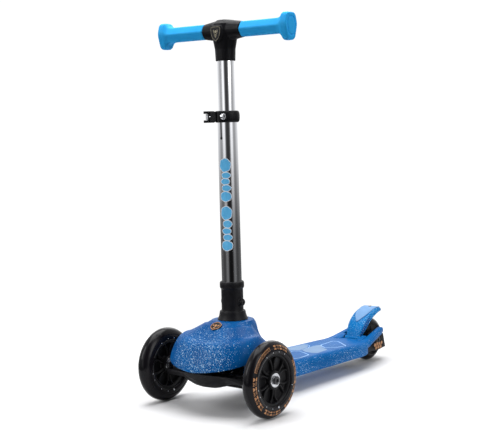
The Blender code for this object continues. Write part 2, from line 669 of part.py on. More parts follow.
def clamp_lever():
    """A forked cam lever: two prongs round the barrel and an arm that wraps the column."""
    low, high = CAM_Z - 0.0092, CAM_Z + 0.0092
    eye = 0.0074
    turns = [math.radians(180 + 18 * i) for i in range(0, 11)]
    head = [(CAM_X + eye * math.cos(t), CAM_Y + eye * math.sin(t)) for t in turns]
    tail = [(CAM_X + eye, CAM_Y + 0.0040), (CAM_X + 0.0030, CAM_Y + 0.0120), (CAM_X - 0.0055, CAM_Y + 0.0120)]
    lever = prism("clamp_lever", head + tail, low, high, "black_plastic", "Z", (CAM_X, CAM_Y, CAM_Z))
    arm_outer = []
    arm_inner = []
    for step in range(0, 8):
        turn = math.radians(207 - 12 * step)
        outer, inner = 0.0262 + 0.0006 * step, 0.0215 + 0.0006 * step
        arm_outer.append((outer * math.cos(turn), COLUMN_Y + outer * math.sin(turn)))
        arm_inner.append((inner * math.cos(turn), COLUMN_Y + inner * math.sin(turn)))
    strip = prism("lever_arm", arm_outer + arm_inner[::-1], CAM_Z - 0.0070, CAM_Z + 0.0070, None, "Z")
    boolean(lever, strip, "UNION")
    slot_low = (CAM_X - 0.02, CAM_Y - 0.02, CAM_Z - 0.0051)
    slot_high = (CAM_X + 0.02, CAM_Y + 0.0062, CAM_Z + 0.0051)
    boolean(lever, box("lever_slot", slot_low, slot_high))
    boolean(lever, rod("lever_eye", 0.0020 + RUNNING, -0.02, 0.02, None, (CAM_X, CAM_Y, CAM_Z)))
    return lever


# ---- handlebar ---------------------------------------------------------------------------
def shield(scale, low, high, name, finish):
    """An upright shield, pointed at the bottom, square to the front."""
    half = [(0.0, -0.0125), (0.0065, -0.0075), (0.0100, 0.0000), (0.0105, 0.0080), (0.0085, 0.0120)]
    right = [(x * scale, BADGE_Z + z * scale) for x, z in half]
    left = [(-x, z) for x, z in reversed(right[1:])]
    return prism(name, right + left, low, high, finish, "Y", (0, high, BADGE_Z))


def bar_joint():
    """The moulded tee: a tapered socket, wide shoulders, two short arms and a pad for the badge."""
    centre = (0, COLUMN_Y, 0)
    socket = [(0, T_FOOT), (0.0158, T_FOOT), (0.0166, 0.5700), (0.0200, 0.5880), (0.0214, 0.5990),
              (0.0198, 0.6095), (0.0120, 0.6155), (0, 0.6170)]
    tee = turned("bar_joint", socket, "black_plastic", centre, "Z", 20)
    arms = [(0, -GRIP_START), (0.0126, -GRIP_START), (0.0166, -0.0120), (0.0166, 0.0120),
            (0.0126, GRIP_START), (0, GRIP_START)]
    boolean(tee, turned("tee_arms", arms, None, (0, COLUMN_Y, BAR_Z), "X", 20), "UNION")
    boolean(tee, shield(1.06, COLUMN_Y - 0.0218, COLUMN_Y - 0.0120, "tee_pad", None), "UNION")
    boolean(tee, rod("tee_bore", UPPER_TUBE_R + GAP, 0.50, 0.5868, None, centre, "Z", 20))
    boolean(tee, rod("tee_cross_bore", 0.0095 + GAP, -0.06, 0.06, None, (0, COLUMN_Y, BAR_Z), "X", 20))
    return tee


def polygon_ring(corners, x, per_side=4):
    """Points along a polygon's sides, starting at its first corner."""
    ring = []
    for index, (y0, z0) in enumerate(corners):
        y1, z1 = corners[(index + 1) % len(corners)]
        for step in range(per_side):
            t = step / per_side
            ring.append((x, COLUMN_Y + y0 + (y1 - y0) * t, BAR_Z + z0 + (z1 - z0) * t))
    return ring


def grip(side, word):
    """A hexagonal sleeve that flares into a six-sided end knob."""
    r = GRIP_FLATS / math.sqrt(3)
    flat = GRIP_FLATS / 2
    hexagon = [(r, 0), (r / 2, flat), (-r / 2, flat), (-r, 0), (-r / 2, -flat), (r / 2, -flat)]
    knob = [(0.0160, 0.002), (0.0110, 0.0197), (-0.0110, 0.0197), (-0.0160, 0.002), (-0.0090, -0.0230),
            (0.0090, -0.0230)]
    edge = [(y * 0.93, z * 0.94) for y, z in knob]
    bore = 0.0095 + GAP

    def bore_ring(x):
        ring = []
        for point in polygon_ring(hexagon, x):
            turn = math.atan2(point[2] - BAR_Z, point[1] - COLUMN_Y)
            ring.append((x, COLUMN_Y + bore * math.cos(turn), BAR_Z + bore * math.sin(turn)))
        return ring

    start = GRIP_START + GAP
    rings = [bore_ring(side * 0.1025), bore_ring(side * start), polygon_ring(hexagon, side * start),
             polygon_ring(hexagon, side * GRIP_STRAIGHT), polygon_ring(knob, side * 0.1215),
             polygon_ring(knob, side * 0.1305), polygon_ring(edge, side * BAR_END)]
    verts, faces = skin(rings)
    return add_object("grip_" + word, verts, faces, "grip_blue", (side * start, COLUMN_Y, BAR_Z))


def bar_badge():
    """A plain shield on the tee's front."""
    face = COLUMN_Y - 0.0221
    return shield(1.0, face - 0.0012, face, "bar_badge", "steel")


def handlebar():
    centre = (0, COLUMN_Y, 0)
    tube("upper_tube", UPPER_TUBE_R, UPPER_TUBE_BORE, 0.2750, 0.5865, "chrome", centre, "Z", 24)
    tube("bar_core", 0.0095, 0.0080, -0.1015, 0.1015, "steel", (0, COLUMN_Y, BAR_Z), "X", 20)
    bar_joint()
    grip(1, "left")
    grip(-1, "right")
    bar_badge()


# ---- deck and rear end -------------------------------------------------------------------
def deck_heights(y):
    run = y - (FRONT_Y + 0.120)
    return DECK_TOP + DECK_TOP_SLOPE * run, DECK_UNDER + DECK_UNDER_SLOPE * run


def deck_section(y, half):
    """One cross-section of the deck: flat top, round shoulders, nearly upright sides."""
    top, under = deck_heights(y)
    shoulder = 0.0115
    right = [(half - 0.0030, under), (half - 0.0005, under + 0.0030)]
    for step in range(0, 5):
        turn = math.radians(22.5 * step)
        x = half - shoulder + shoulder * math.cos(turn)
        right.append((x, top - shoulder + shoulder * math.sin(turn)))
    return [(x, y, z) for x, z in mirrored(right)]


ARM_SECTIONS = [
    (0.3560, 0.0303, 0.0480, 0.0330, 0.0480), (0.3720, 0.0290, 0.0465, 0.0345, 0.0487),
    (0.3850, 0.0275, 0.0450, 0.0365, 0.0505), (0.4050, 0.0260, 0.0405, 0.0415, 0.0550),
    (0.4250, 0.0240, 0.0360, 0.0455, 0.0600), (0.4430, 0.0225, 0.0315, 0.0490, 0.0640),
    (0.4530, 0.0235, 0.0285, 0.0530, 0.0615),
]


def deck_arm(side):
    """An upswept arm beside the rear wheel, tapering in plan and in height."""
    rings = []
    for y, inner, outer, low, high in ARM_SECTIONS:
        soft = (outer - inner) * 0.28
        corners = [(inner, low), (outer - soft, low), (outer, low + soft), (outer, high - soft),
                   (outer - soft, high), (inner, high)]
        rings.append([(side * x, FRONT_Y + y, z) for x, z in corners])
    verts, faces = skin(rings)
    return add_object("deck_arm", verts, faces, None)


def deck_board():
    """The standing platform with its two upswept arms beside the rear wheel."""
    stations = [(0.1125, 0.0440), (0.1250, 0.0470), (0.1400, 0.0490), (0.1700, 0.0500), (0.3450, 0.0500),
                (0.3600, 0.0490), (0.3720, 0.0465)]
    rings = [deck_section(FRONT_Y + y, half) for y, half in stations]
    verts, faces = skin(rings)
    deck = add_object("deck_board", verts, faces, "blue_glitter", (0, FRONT_Y + 0.1125, DECK_TOP))
    y = FRONT_Y
    for side in (-1, 1):
        boolean(deck, deck_arm(side), "UNION")
    boolean(deck, box("deck_front_recess", (-0.0363, y + 0.09, 0.02), (0.0363, y + 0.1583, 0.0333)))
    boolean(deck, box("deck_rear_recess", (-0.0303, y + 0.3447, 0.01), (0.0303, y + 0.3800, 0.0300)))
    for side in (-1, 1):
        boolean(deck, rod("deck_screw_bore", 0.0020 + GAP, 0.025, 0.0405, None, (side * SCREW_X, SCREW_Y, 0)))
    return deck


def rear_bracket():
    """The black fork that carries the rear axle, the brake's pin and a tongue under the deck."""
    y = FRONT_Y
    tongue = [(y + 0.3450, 0.0252), (y + 0.3900, 0.0235), (y + 0.3900, 0.0297), (y + 0.3450, 0.0297)]
    body = prism("rear_bracket", tongue, -0.0300, 0.0300, "black_plastic", "X", (0, REAR_Y, REAR_WHEEL_R))
    plate = [(y + 0.3723, 0.0240), (y + 0.4400, 0.0210), (y + 0.4630, 0.0234), (y + 0.4560, 0.0500),
             (y + 0.4430, 0.0484), (y + 0.4250, 0.0449), (y + 0.4050, 0.0408), (y + 0.3850, 0.0357),
             (y + 0.3723, 0.0335)]
    boolean(body, prism("bracket_plate", plate, -FORK_OUTER, FORK_OUTER, None, "X"), "UNION")
    ear = [(y + 0.3840, 0.0330), (y + 0.4020, 0.0330), (y + 0.3985, 0.0500), (y + 0.3955, 0.0526),
           (y + 0.3905, 0.0526), (y + 0.3875, 0.0500)]
    for sign in (-1, 1):
        ends = sorted((sign * 0.0172, sign * EAR_OUTER))
        boolean(body, prism("bracket_ear", ear, ends[0], ends[1], None, "X"), "UNION")
    boolean(body, box("bracket_slot", (-FORK_INNER, y + 0.3955, 0.01), (FORK_INNER, y + 0.48, 0.08)))
    hub = (0, REAR_Y, REAR_WHEEL_R)
    boolean(body, rod("bracket_axle_bore", 0.0040 + GAP, -0.05, 0.05, None, hub, "X"))
    for sign in (-1, 1):
        ends = sorted((sign * AXLE_SEAT, sign * 0.05))
        boolean(body, rod("bracket_axle_seat", 0.0075 + GAP, ends[0], ends[1], None, hub, "X", 20))
    boolean(body, rod("bracket_pin_bore", 0.0025 + GAP, -0.05, 0.05, None, (0, BRAKE_Y, BRAKE_Z), "X", 20))
    return body


def rear_axle():
    """The rear axle bolt with its nut, both sunk in the bracket, and two wheel spacers."""
    centre = (0, REAR_Y, REAR_WHEEL_R)
    seat = AXLE_SEAT + GAP
    profile = [(0, -0.0255), (0.0040, -0.0255), (0.0040, seat), (0.0072, seat), (0.0072, seat + 0.0030),
               (0.0062, seat + 0.0038), (0, seat + 0.0038)]
    turned("rear_axle", profile, "steel", centre, "X")
    hex_nut("rear_axle_nut", 0.0070, 0.0040, -seat - 0.0034, -seat, centre, "X")
    tube("rear_spacer_left", 0.0062, 0.0040 + GAP, 0.0115, 0.0149, "steel", centre, "X")
    tube("rear_spacer_right", 0.0062, 0.0040 + GAP, -0.0149, -0.0115, "steel", centre, "X")


BRAKE_LINE = [(0.3893, 0.0475), (0.3925, 0.0560), (0.3990, 0.0680), (0.4090, 0.0790), (0.4220, 0.0885),
              (0.4370, 0.0950), (0.4510, 0.0980), (0.4630, 0.0970), (0.4710, 0.0935)]
BRAKE_CROWN = [0.0125, 0.0145, 0.0160, 0.0170, 0.0175, 0.0175, 0.0170, 0.0158, 0.0115]
BRAKE_SIDE = [0.0155, 0.0166, 0.0195, 0.0208, 0.0208, 0.0205, 0.0198, 0.0183, 0.0135]
BRAKE_SKIRT = [0.0030, 0.0070, 0.0090, 0.0090, 0.0090, 0.0085, 0.0075, 0.0055, 0.0030]


def brake_frame(index):
    """A station on the pedal's crown line: its point and the direction square to the crown."""
    before = BRAKE_LINE[max(0, index - 1)]
    after = BRAKE_LINE[min(len(BRAKE_LINE) - 1, index + 1)]
    along = Vector((0, after[0] - before[0], after[1] - before[1])).normalized()
    heart = Vector((0, FRONT_Y + BRAKE_LINE[index][0], BRAKE_LINE[index][1]))
    return heart, Vector((0, -along.z, along.y))


def brake_section(index):
    """A cross-section of the pedal: a flat crown with a sloping skirt on each side."""
    heart, up = brake_frame(index)
    crown, side, skirt = BRAKE_CROWN[index], BRAKE_SIDE[index], BRAKE_SKIRT[index]
    outer = [(-side, -skirt), (-crown, 0.0), (crown, 0.0), (side, -skirt)]
    under, edge = crown - 0.0014, side - 0.0022
    inner = [(edge, -skirt), (under, -0.0024), (-under, -0.0024), (-edge, -skirt)]
    return [heart + Vector((x, 0, 0)) + up * level for x, level in outer + inner]


def brake_pedal():
    """A curved mudguard pedal over the rear wheel, turned on a pin between the bracket's ears."""
    rings = [brake_section(i) for i in range(len(BRAKE_LINE))]
    verts, faces = skin(rings)
    pedal = add_object("brake_pedal", verts, faces, "brake_blue", (0, BRAKE_Y, BRAKE_Z))
    pivot = (0, BRAKE_Y, BRAKE_Z)
    boolean(pedal, rod("brake_barrel", 0.0043, -0.0166, 0.0166, None, pivot, "X", 20), "UNION")
    boolean(pedal, rod("brake_bore", 0.0025 + RUNNING, -0.03, 0.03, None, pivot, "X", 20))
    return pedal


def brake_tread():
    """The non-slip inlay on the pedal's crown, pointed at its lower end."""
    rings = []
    for index, half in {2: 0.0012, 3: 0.0095, 4: 0.0150, 5: 0.0154, 6: 0.0154, 7: 0.0140}.items():
        heart, up = brake_frame(index)
        corners = ((-half, 0.0006), (half, 0.0006), (half, 0.0014), (-half, 0.0014))
        rings.append([heart + Vector((x, 0, 0)) + up * level for x, level in corners])
    verts, faces = skin(rings)
    return add_object("brake_tread", verts, faces, "light_blue", (0, BRAKE_Y, BRAKE_Z))


def brake_hardware():
    centre = (0, BRAKE_Y, BRAKE_Z)
    rod("brake_pin", 0.0025, -0.0262, EAR_OUTER - 0.0004, "steel", centre, "X", 20)
    low, high = -EAR_OUTER - 0.0035, -EAR_OUTER - 0.0011
    coil("brake_spring", 0.0036, 0.0006, low, high, 2, "steel", centre, "X", 8, 4)


def clear_scene():
    for old in list(bpy.data.objects):
        bpy.data.objects.remove(old, do_unlink=True)


def build():
    clear_scene()
    for side, word in ((1, "left"), (-1, "right")):
        front_wheel(side, word)
        kingpin(side, word)
        knuckle(side, word)
        axle_bolt(side, word)
        deck_screw(side, word)
    rear_wheel()
    axle_beam()
    tie_rod()
    lean_pivot()
    lower_cowl()
    nose_cover()
    nose_badge()
    steering_housing()
    column_socket()
    release_button()
    lower_tube()
    column_plugs()
    clamp_band()
    clamp_hardware()
    clamp_lever()
    handlebar()
    deck_board()
    rear_bracket()
    rear_axle()
    brake_pedal()
    brake_tread()
    brake_hardware()


build()
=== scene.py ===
"""Looks for a child's three-wheel kick scooter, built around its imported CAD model.

+Z is up, the front is towards -Y and the rider's left towards +X. Shapes are worked out in
millimetres, and piece() turns them into metres.
"""
import json
import random
from math import atan2, cos, hypot, pi, radians, sin, sqrt

import bmesh
import bpy
from mathutils import Matrix, Vector


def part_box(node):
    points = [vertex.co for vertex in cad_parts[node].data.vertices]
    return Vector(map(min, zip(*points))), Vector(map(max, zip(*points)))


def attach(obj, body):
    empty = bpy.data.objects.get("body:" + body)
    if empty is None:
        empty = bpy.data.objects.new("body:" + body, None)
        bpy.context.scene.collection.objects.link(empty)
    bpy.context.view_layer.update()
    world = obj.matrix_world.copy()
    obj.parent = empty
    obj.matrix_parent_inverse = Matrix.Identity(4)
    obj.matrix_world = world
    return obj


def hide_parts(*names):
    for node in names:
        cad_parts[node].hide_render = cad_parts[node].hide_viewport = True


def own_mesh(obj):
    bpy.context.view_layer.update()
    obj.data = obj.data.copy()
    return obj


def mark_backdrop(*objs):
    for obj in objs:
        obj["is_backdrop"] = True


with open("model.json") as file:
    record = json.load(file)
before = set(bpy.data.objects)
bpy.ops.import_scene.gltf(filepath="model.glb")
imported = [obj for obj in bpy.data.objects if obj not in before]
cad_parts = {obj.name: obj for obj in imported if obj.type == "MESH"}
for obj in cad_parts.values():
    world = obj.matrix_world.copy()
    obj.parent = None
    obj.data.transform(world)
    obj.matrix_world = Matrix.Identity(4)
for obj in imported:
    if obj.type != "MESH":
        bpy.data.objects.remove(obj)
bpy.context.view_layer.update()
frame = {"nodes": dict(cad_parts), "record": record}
nodes = frame["nodes"]
OWNER = {node: body for body, members in frame["record"]["behaviour"]["bodies"].items() for node in members}
MM = 0.001
SIDES = ((1, "left"), (-1, "right"))


# ---- places and sizes in millimetres, from the frame and from the CAD model's driving dimensions ----
def box(node):
    """A CAD node's box: its low corner, high corner and centre."""
    low, high = (Vector(corner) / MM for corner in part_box(node))
    return low, high, (low + high) / 2


FRONT_HUB = box("front_tyre_left")[2]
FRONT_Y = FRONT_HUB.y
COLUMN_Y = box("upper_tube")[2].y
REAR_HUB = box("rear_tyre")[2]
FRONT_R = FRONT_HUB.z
REAR_R = REAR_HUB.z
TYRE_HALF_WIDTH = 12
FRONT_SEAT, REAR_SEAT = 40.3, 27.8
BAR_Z = 599
CAM = box("cam_barrel")[2]
AXIS_Y = COLUMN_Y - FRONT_Y

HOOD_TOP = 137.2
HOOD_A, HOOD_B = 82, 58
NECK_R = 33.5
DECK_TOP, DECK_TOP_SLOPE = 56.6, -0.0315


# ---- curves --------------------------------------------------------------------------------
def smooth_step(value, start, end):
    t = min(1.0, max(0.0, (value - start) / (end - start)))
    return t * t * (3 - 2 * t)


def spline(pairs, value):
    """A smooth curve through points, without overshoot past the ends."""
    if value <= pairs[0][0]:
        return pairs[0][1]
    for index in range(len(pairs) - 1):
        x0, y0 = pairs[index]
        x1, y1 = pairs[index + 1]
        if value > x1:
            continue
        before = pairs[max(0, index - 1)]
        after = pairs[min(len(pairs) - 1, index + 2)]
        slope0 = (y1 - before[1]) / (x1 - before[0])
        slope1 = (after[1] - y0) / (after[0] - x0)
        span = x1 - x0
        t = (value - x0) / span
        a = (1 + 2 * t) * (1 - t) ** 2
        b = t * (1 - t) ** 2
        c = t * t * (3 - 2 * t)
        d = t * t * (t - 1)
        return a * y0 + b * span * slope0 + c * y1 + d * span * slope1
    return pairs[-1][1]


def fillet(points, radius, steps=3, closed=True):
    """A polygon or open line with each corner rounded. radius is one number or one per corner."""
    count = len(points)
    radii = radius if isinstance(radius, (list, tuple)) else [radius] * count
    made = []
    for index, point in enumerate(points):
        if not closed and index in (0, count - 1):
            made.append(tuple(point))
            continue
        corner = Vector(point)
        before = Vector(points[index - 1])
        after = Vector(points[(index + 1) % count])
        cut = min(radii[index], (before - corner).length * 0.48, (after - corner).length * 0.48)
        start = corner + (before - corner).normalized() * cut
        end = corner + (after - corner).normalized() * cut
        for step in range(steps + 1):
            t = step / steps
            made.append(tuple(start * (1 - t) ** 2 + corner * (2 * t * (1 - t)) + end * t ** 2))
    return made


def resample(points, count):
    """A closed line of points turned into count points on a smooth curve through them."""
    total = len(points)
    made = []
    for index in range(count):
        place = index * total / count
        base = int(place)
        t = place - base
        p0, p1, p2, p3 = (Vector(points[(base + k) % total]) for k in (-1, 0, 1, 2))
        inner = (p2 - p0) * t + (p0 * 2 - p1 * 5 + p2 * 4 - p3) * t ** 2
        made.append(p1 + (inner + (p1 * 3 - p0 - p2 * 3 + p3) * t ** 3) * 0.5)
    return made


# ---- materials -----------------------------------------------------------------------------
def add_node(tree, kind, output=0, inputs=(), **settings):
    """Adds a shader node and gives one of its outputs. Inputs are links or plain values, by socket."""
    made = tree.nodes.new(kind)
    for key, value in settings.items():
        setattr(made, key, value)
    for key, value in dict(inputs).items():
        socket = made.inputs[key]
        if hasattr(value, "is_linked"):
            tree.links.new(value, socket)
        else:
            socket.default_value = (*value, 1) if socket.type == "RGBA" else value
    return made.outputs[output]


class Finish:
    """A Principled material that is filled in node by node, and the CAD slot it belongs to."""

    def __init__(self, name, slot, colour, roughness, metallic=0.0, coat=0.0, specular=0.5, mottle=None,
            rough=None, bump=None):
        self.slot = slot
        self.material = bpy.data.materials.new(name)
        self.material.use_nodes = True
        self.tree = self.material.node_tree
        self.shader = self.tree.nodes["Principled BSDF"]
        settings = {"Base Color": (*colour, 1), "Roughness": roughness, "Metallic": metallic,
                "Coat Weight": coat, "Specular IOR Level": specular, "Coat Roughness": 0.06}
        for key, value in settings.items():
            self.shader.inputs[key].default_value = value
        self.place = self.node("ShaderNodeTexCoord", "Object")
        for step, values in ((self.mottle, mottle), (self.rough, rough), (self.bump, bump)):
            if values:
                step(*values)

    def node(self, kind, output=0, inputs=(), **settings):
        return add_node(self.tree, kind, output, inputs, **settings)

    def drive(self, socket, source):
        self.tree.links.new(source, self.shader.inputs[socket])

    def math(self, operation, first, second):
        return self.node("ShaderNodeMath", 0, {0: first, 1: second}, operation=operation)

    def vector(self, operation, output=0, **inputs):
        sockets = {{"a": 0, "b": 1, "scale": "Scale"}[key]: value for key, value in inputs.items()}
        return self.node("ShaderNodeVectorMath", output, sockets, operation=operation)

    def noise(self, scale, detail=3.0, stretch=None):
        place = self.place
        if stretch:
            place = self.node("ShaderNodeMapping", "Vector", {"Vector": place, "Scale": stretch})
        return self.node("ShaderNodeTexNoise", "Fac", {"Vector": place, "Scale": scale, "Detail": detail})

    def ramp(self, value, low, high, start=0.3, end=0.7):
        """The value from start to end, carried to low to high."""
        return self.node("ShaderNodeMapRange", "Result", {"Value": value, "From Min": start,
                "From Max": end, "To Min": low, "To Max": high})

    def mix(self, share, first, second):
        return self.node("ShaderNodeMix", "Result", {"Factor": share, "A": first, "B": second},
                data_type="RGBA")

    def mottle(self, first, second, scale):
        """Base colour that drifts between two tones."""
        self.drive("Base Color", self.mix(self.ramp(self.noise(scale), 0.0, 1.0), first, second))

    def rough(self, low, high, scale, stretch=None):
        self.drive("Roughness", self.ramp(self.noise(scale, 4.0, stretch), low, high))

    def bump(self, scale, depth, strength=0.5, stretch=None):
        """Fine relief, depth in millimetres."""
        relief = {"Strength": strength, "Distance": depth * MM, "Height": self.noise(scale, 2.0, stretch)}
        self.drive("Normal", self.node("ShaderNodeBump", "Normal", relief))


PALE_FLAKE = (0.66, 0.90, 1.0)
FLAKE_REACH = 0.44


def glitter(name, slot, deep, bright, fleck, amount, coat, top=1.0, fine=1.0, heart=None):
    """Moulded plastic full of glitter: two sizes of flake, fewer where it faces up, and fewer away from heart
    as a painted highlight haze.
    """
    made = Finish(name, slot, deep, 0.35, 0.0, coat, 0.04)
    colour = made.mix(made.ramp(made.noise(26.0, 4.0), 0.0, 1.0, 0.35, 0.65), deep, bright)
    normal = made.node("ShaderNodeNewGeometry", "Normal")
    upward = made.node("ShaderNodeSeparateXYZ", "Z", {0: normal})
    crowd = made.math("MULTIPLY", made.ramp(made.noise(14.0, 2.0), 0.35, 1.6, 0.35, 0.65),
            made.ramp(upward, 1.0, top, 0.55, 0.92))
    # Painted highlight haze: the flakes thin out with distance from heart.
    if heart:
        away = made.vector("DISTANCE", "Value", a=made.place, b=[v * MM for v in heart])
        crowd = made.math("MULTIPLY", crowd, made.ramp(away, 2.1, 0.18, 0.030, 0.080))
    flakes = []
    for scale, share in ((540.0 * fine, amount), (1150.0 * fine, amount * 1.8)):
        cell = made.node("ShaderNodeTexVoronoi", "Color", {"Vector": made.place, "Scale": scale},
                feature="F1")
        split = made.node("ShaderNodeSeparateColor", "Red", {"Color": cell}).node.outputs
        chosen = made.math("LESS_THAN", split["Red"], made.math("MULTIPLY", crowd, share))
        inside = made.math("LESS_THAN", cell.node.outputs["Distance"], FLAKE_REACH)
        flake = made.math("MULTIPLY", chosen, inside)
        tone = made.mix(made.ramp(split["Green"], 0.0, 1.0, 0.25, 0.85), fleck, PALE_FLAKE)
        strength = made.math("MULTIPLY", flake, made.ramp(split["Blue"], 0.12, 1.0, 0.0, 1.0))
        colour = made.mix(strength, colour, tone)
        flakes.append((cell, flake))
    cell, flake = flakes[0]
    tilt = made.vector("SCALE", a=made.vector("SUBTRACT", a=cell, b=(0.5, 0.5, 0.5)),
            scale=made.math("MULTIPLY", flake, 0.6))
    made.drive("Base Color", colour)
    made.drive("Normal", made.vector("NORMALIZE", a=made.vector("ADD", a=normal, b=tilt)))
    made.drive("Roughness", made.ramp(flake, 0.38, 0.22, 0.0, 1.0))
    return made


# heart: the hood's flakes thin out with distance from this point, a painted highlight haze.
HOOD_BLUE = glitter("hood_glitter", "blue_glitter", (0.001, 0.066, 0.24), (0.003, 0.094, 0.31),
        (0.04, 0.30, 0.72), 0.11, 0.05, heart=(0, FRONT_Y - 55, 98))
DECK_BLUE = glitter("deck_glitter", "blue_glitter", (0.001, 0.094, 0.31), (0.003, 0.116, 0.37),
        (0.05, 0.28, 0.66), 0.11, 0.0, 0.12, 1.35)
BRAKE_BLUE = glitter("brake_glitter", "brake_blue", (0.001, 0.140, 0.40), (0.003, 0.175, 0.48),
        (0.05, 0.38, 0.82), 0.14, 0.04, 1.0, 1.45)
PRINT_BLUE = Finish("print_light_blue", "light_blue", (0.18, 0.33, 0.62), 0.5, specular=0.1,
        mottle=((0.16, 0.27, 0.44), (0.19, 0.30, 0.48), 60.0), bump=(2600.0, 0.05, 0.3))
PAD_BLUE = Finish("pad_light_blue", "light_blue", (0.19, 0.38, 0.70), 0.6, specular=0.1,
        mottle=((0.17, 0.33, 0.58), (0.20, 0.36, 0.62), 90.0), bump=(1500.0, 0.12, 0.6))
GRIP_BLUE = Finish("grip_rubber", "grip_blue", (0.03, 0.45, 0.98), 0.55, specular=0.12,
        mottle=((0.022, 0.43, 0.97), (0.034, 0.48, 1.0), 55.0), rough=(0.48, 0.62, 140.0),
        bump=(1900.0, 0.10, 0.5))
BLACK = Finish("black_moulding", "black_plastic", (0.006, 0.006, 0.007), 0.40, specular=0.13,
        mottle=((0.005, 0.005, 0.006), (0.009, 0.009, 0.011), 70.0), rough=(0.34, 0.50, 160.0),
        bump=(1600.0, 0.08, 0.5))
RIM_BLACK = Finish("rim_moulding", "wheel_black", (0.005, 0.005, 0.006), 0.34, specular=0.13,
        mottle=((0.004, 0.004, 0.005), (0.009, 0.009, 0.010), 90.0), rough=(0.32, 0.46, 200.0),
        bump=(1500.0, 0.06, 0.4))
TYRE_BLACK = Finish("cast_tread", "tyre_black", (0.004, 0.004, 0.005), 0.2, 0.0, 0.05, 0.13,
        mottle=((0.003, 0.003, 0.004), (0.007, 0.006, 0.008), 30.0), rough=(0.12, 0.26, 45.0),
        bump=(700.0, 0.05, 0.3))
CHROME = Finish("chrome", "chrome", (0.80, 0.81, 0.84), 0.06, 1.0, mottle=((0.76, 0.77, 0.80),
        (0.84, 0.85, 0.87), 18.0), rough=(0.04, 0.11, 220.0, (1.0, 1.0, 0.04)),
        bump=(900.0, 0.01, 0.2, (1.0, 1.0, 0.03)))
ZINC = Finish("zinc", "steel", (0.56, 0.57, 0.60), 0.28, 1.0, mottle=((0.50, 0.51, 0.53),
        (0.64, 0.65, 0.68), 160.0), rough=(0.20, 0.38, 300.0), bump=(1800.0, 0.04, 0.4))
DARK_STEEL = Finish("dark_steel", "steel", (0.05, 0.05, 0.055), 0.35, 0.8,
        mottle=((0.03, 0.03, 0.034), (0.08, 0.08, 0.085), 140.0), rough=(0.28, 0.46, 260.0),
        bump=(1600.0, 0.04, 0.4))
BRONZE = Finish("bronze", "bronze", (0.46, 0.28, 0.12), 0.4, 1.0, mottle=((0.40, 0.24, 0.10),
        (0.54, 0.34, 0.16), 200.0), rough=(0.32, 0.5, 300.0), bump=(1500.0, 0.04, 0.4))
COPPER = Finish("copper_print", "copper_print", (0.46, 0.23, 0.11), 0.45, specular=0.15,
        mottle=((0.42, 0.20, 0.09), (0.53, 0.27, 0.13), 120.0), rough=(0.34, 0.5, 220.0),
        bump=(1700.0, 0.03, 0.3))
BADGE_BLACK = Finish("badge_black", "black_plastic", (0.006, 0.006, 0.007), 0.3, 0.0, 0.0, 0.12,
        mottle=((0.005, 0.005, 0.006), (0.010, 0.010, 0.012), 150.0), rough=(0.22, 0.36, 180.0))
# Pale lens colour: a painted glint on the front wheels' lens domes.
GLINT_LENS = Finish("lens_painted_glint", "steel", (0.80, 0.84, 0.90), 0.12, 0.0, 0.6,
        mottle=((0.70, 0.75, 0.82), (0.90, 0.93, 0.97), 400.0), rough=(0.08, 0.18, 500.0))
WHITE_PRINT = Finish("print_white", "light_blue", (0.82, 0.88, 0.95), 0.45,
        mottle=((0.78, 0.85, 0.94), (0.88, 0.92, 0.97), 120.0), bump=(2200.0, 0.03, 0.3))
SKY_PRINT = Finish("print_sky", "light_blue", (0.14, 0.54, 0.92), 0.4, specular=0.2,
        mottle=((0.12, 0.51, 0.90), (0.16, 0.57, 0.95), 90.0), bump=(2200.0, 0.03, 0.3))
FLOOR = Finish("studio_floor", None, (0.86, 0.86, 0.87), 0.75, mottle=((0.85, 0.85, 0.86),
        (0.87, 0.87, 0.88), 3.0), bump=(60.0, 0.3, 0.2))
WHITE_BLUE = Finish("print_pale_blue", "light_blue", (0.36, 0.58, 0.88), 0.5, specular=0.1,
        mottle=((0.34, 0.56, 0.86), (0.40, 0.61, 0.91), 60.0), bump=(2600.0, 0.05, 0.3))
# Darker glitter for the pedal's side panels: the painted shade of a recess there.
RECESS_SHADE_BLUE = glitter("recess_shade_glitter", "brake_blue", (0.004, 0.070, 0.26), (0.007, 0.100, 0.34),
        (0.08, 0.35, 0.75), 0.12, 0.05)
BRASS = Finish("pale_brass", "steel", (0.34, 0.30, 0.20), 0.45, 0.2, specular=0.2,
        mottle=((0.28, 0.25, 0.17), (0.40, 0.36, 0.26), 220.0), rough=(0.38, 0.52, 320.0),
        bump=(1800.0, 0.03, 0.3))


# ---- mesh tools ----------------------------------------------------------------------------
def piece(name, shape, finish, on, sharp=38, slot=None):
    """A named mesh, its shape in millimetres. on is the CAD node it stands for, or the body it rides on."""
    verts, faces = shape
    mesh = bpy.data.meshes.new(name)
    mesh.from_pydata([tuple(Vector(v) * MM) for v in verts], [], faces)
    tidy = bmesh.new()
    tidy.from_mesh(mesh)
    bmesh.ops.remove_doubles(tidy, verts=tidy.verts, dist=1e-7)
    bmesh.ops.recalc_face_normals(tidy, faces=tidy.faces)
    tidy.to_mesh(mesh)
    tidy.free()
    mesh.shade_smooth()
    mesh.set_sharp_from_angle(angle=radians(sharp))
    mesh.materials.append(finish.material)
    made = bpy.data.objects.new(name, mesh)
    bpy.context.collection.objects.link(made)
    if on:
        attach(made, OWNER.get(on, on))
        slot or finish.slot
    if on in OWNER:
        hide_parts(on)
    return made


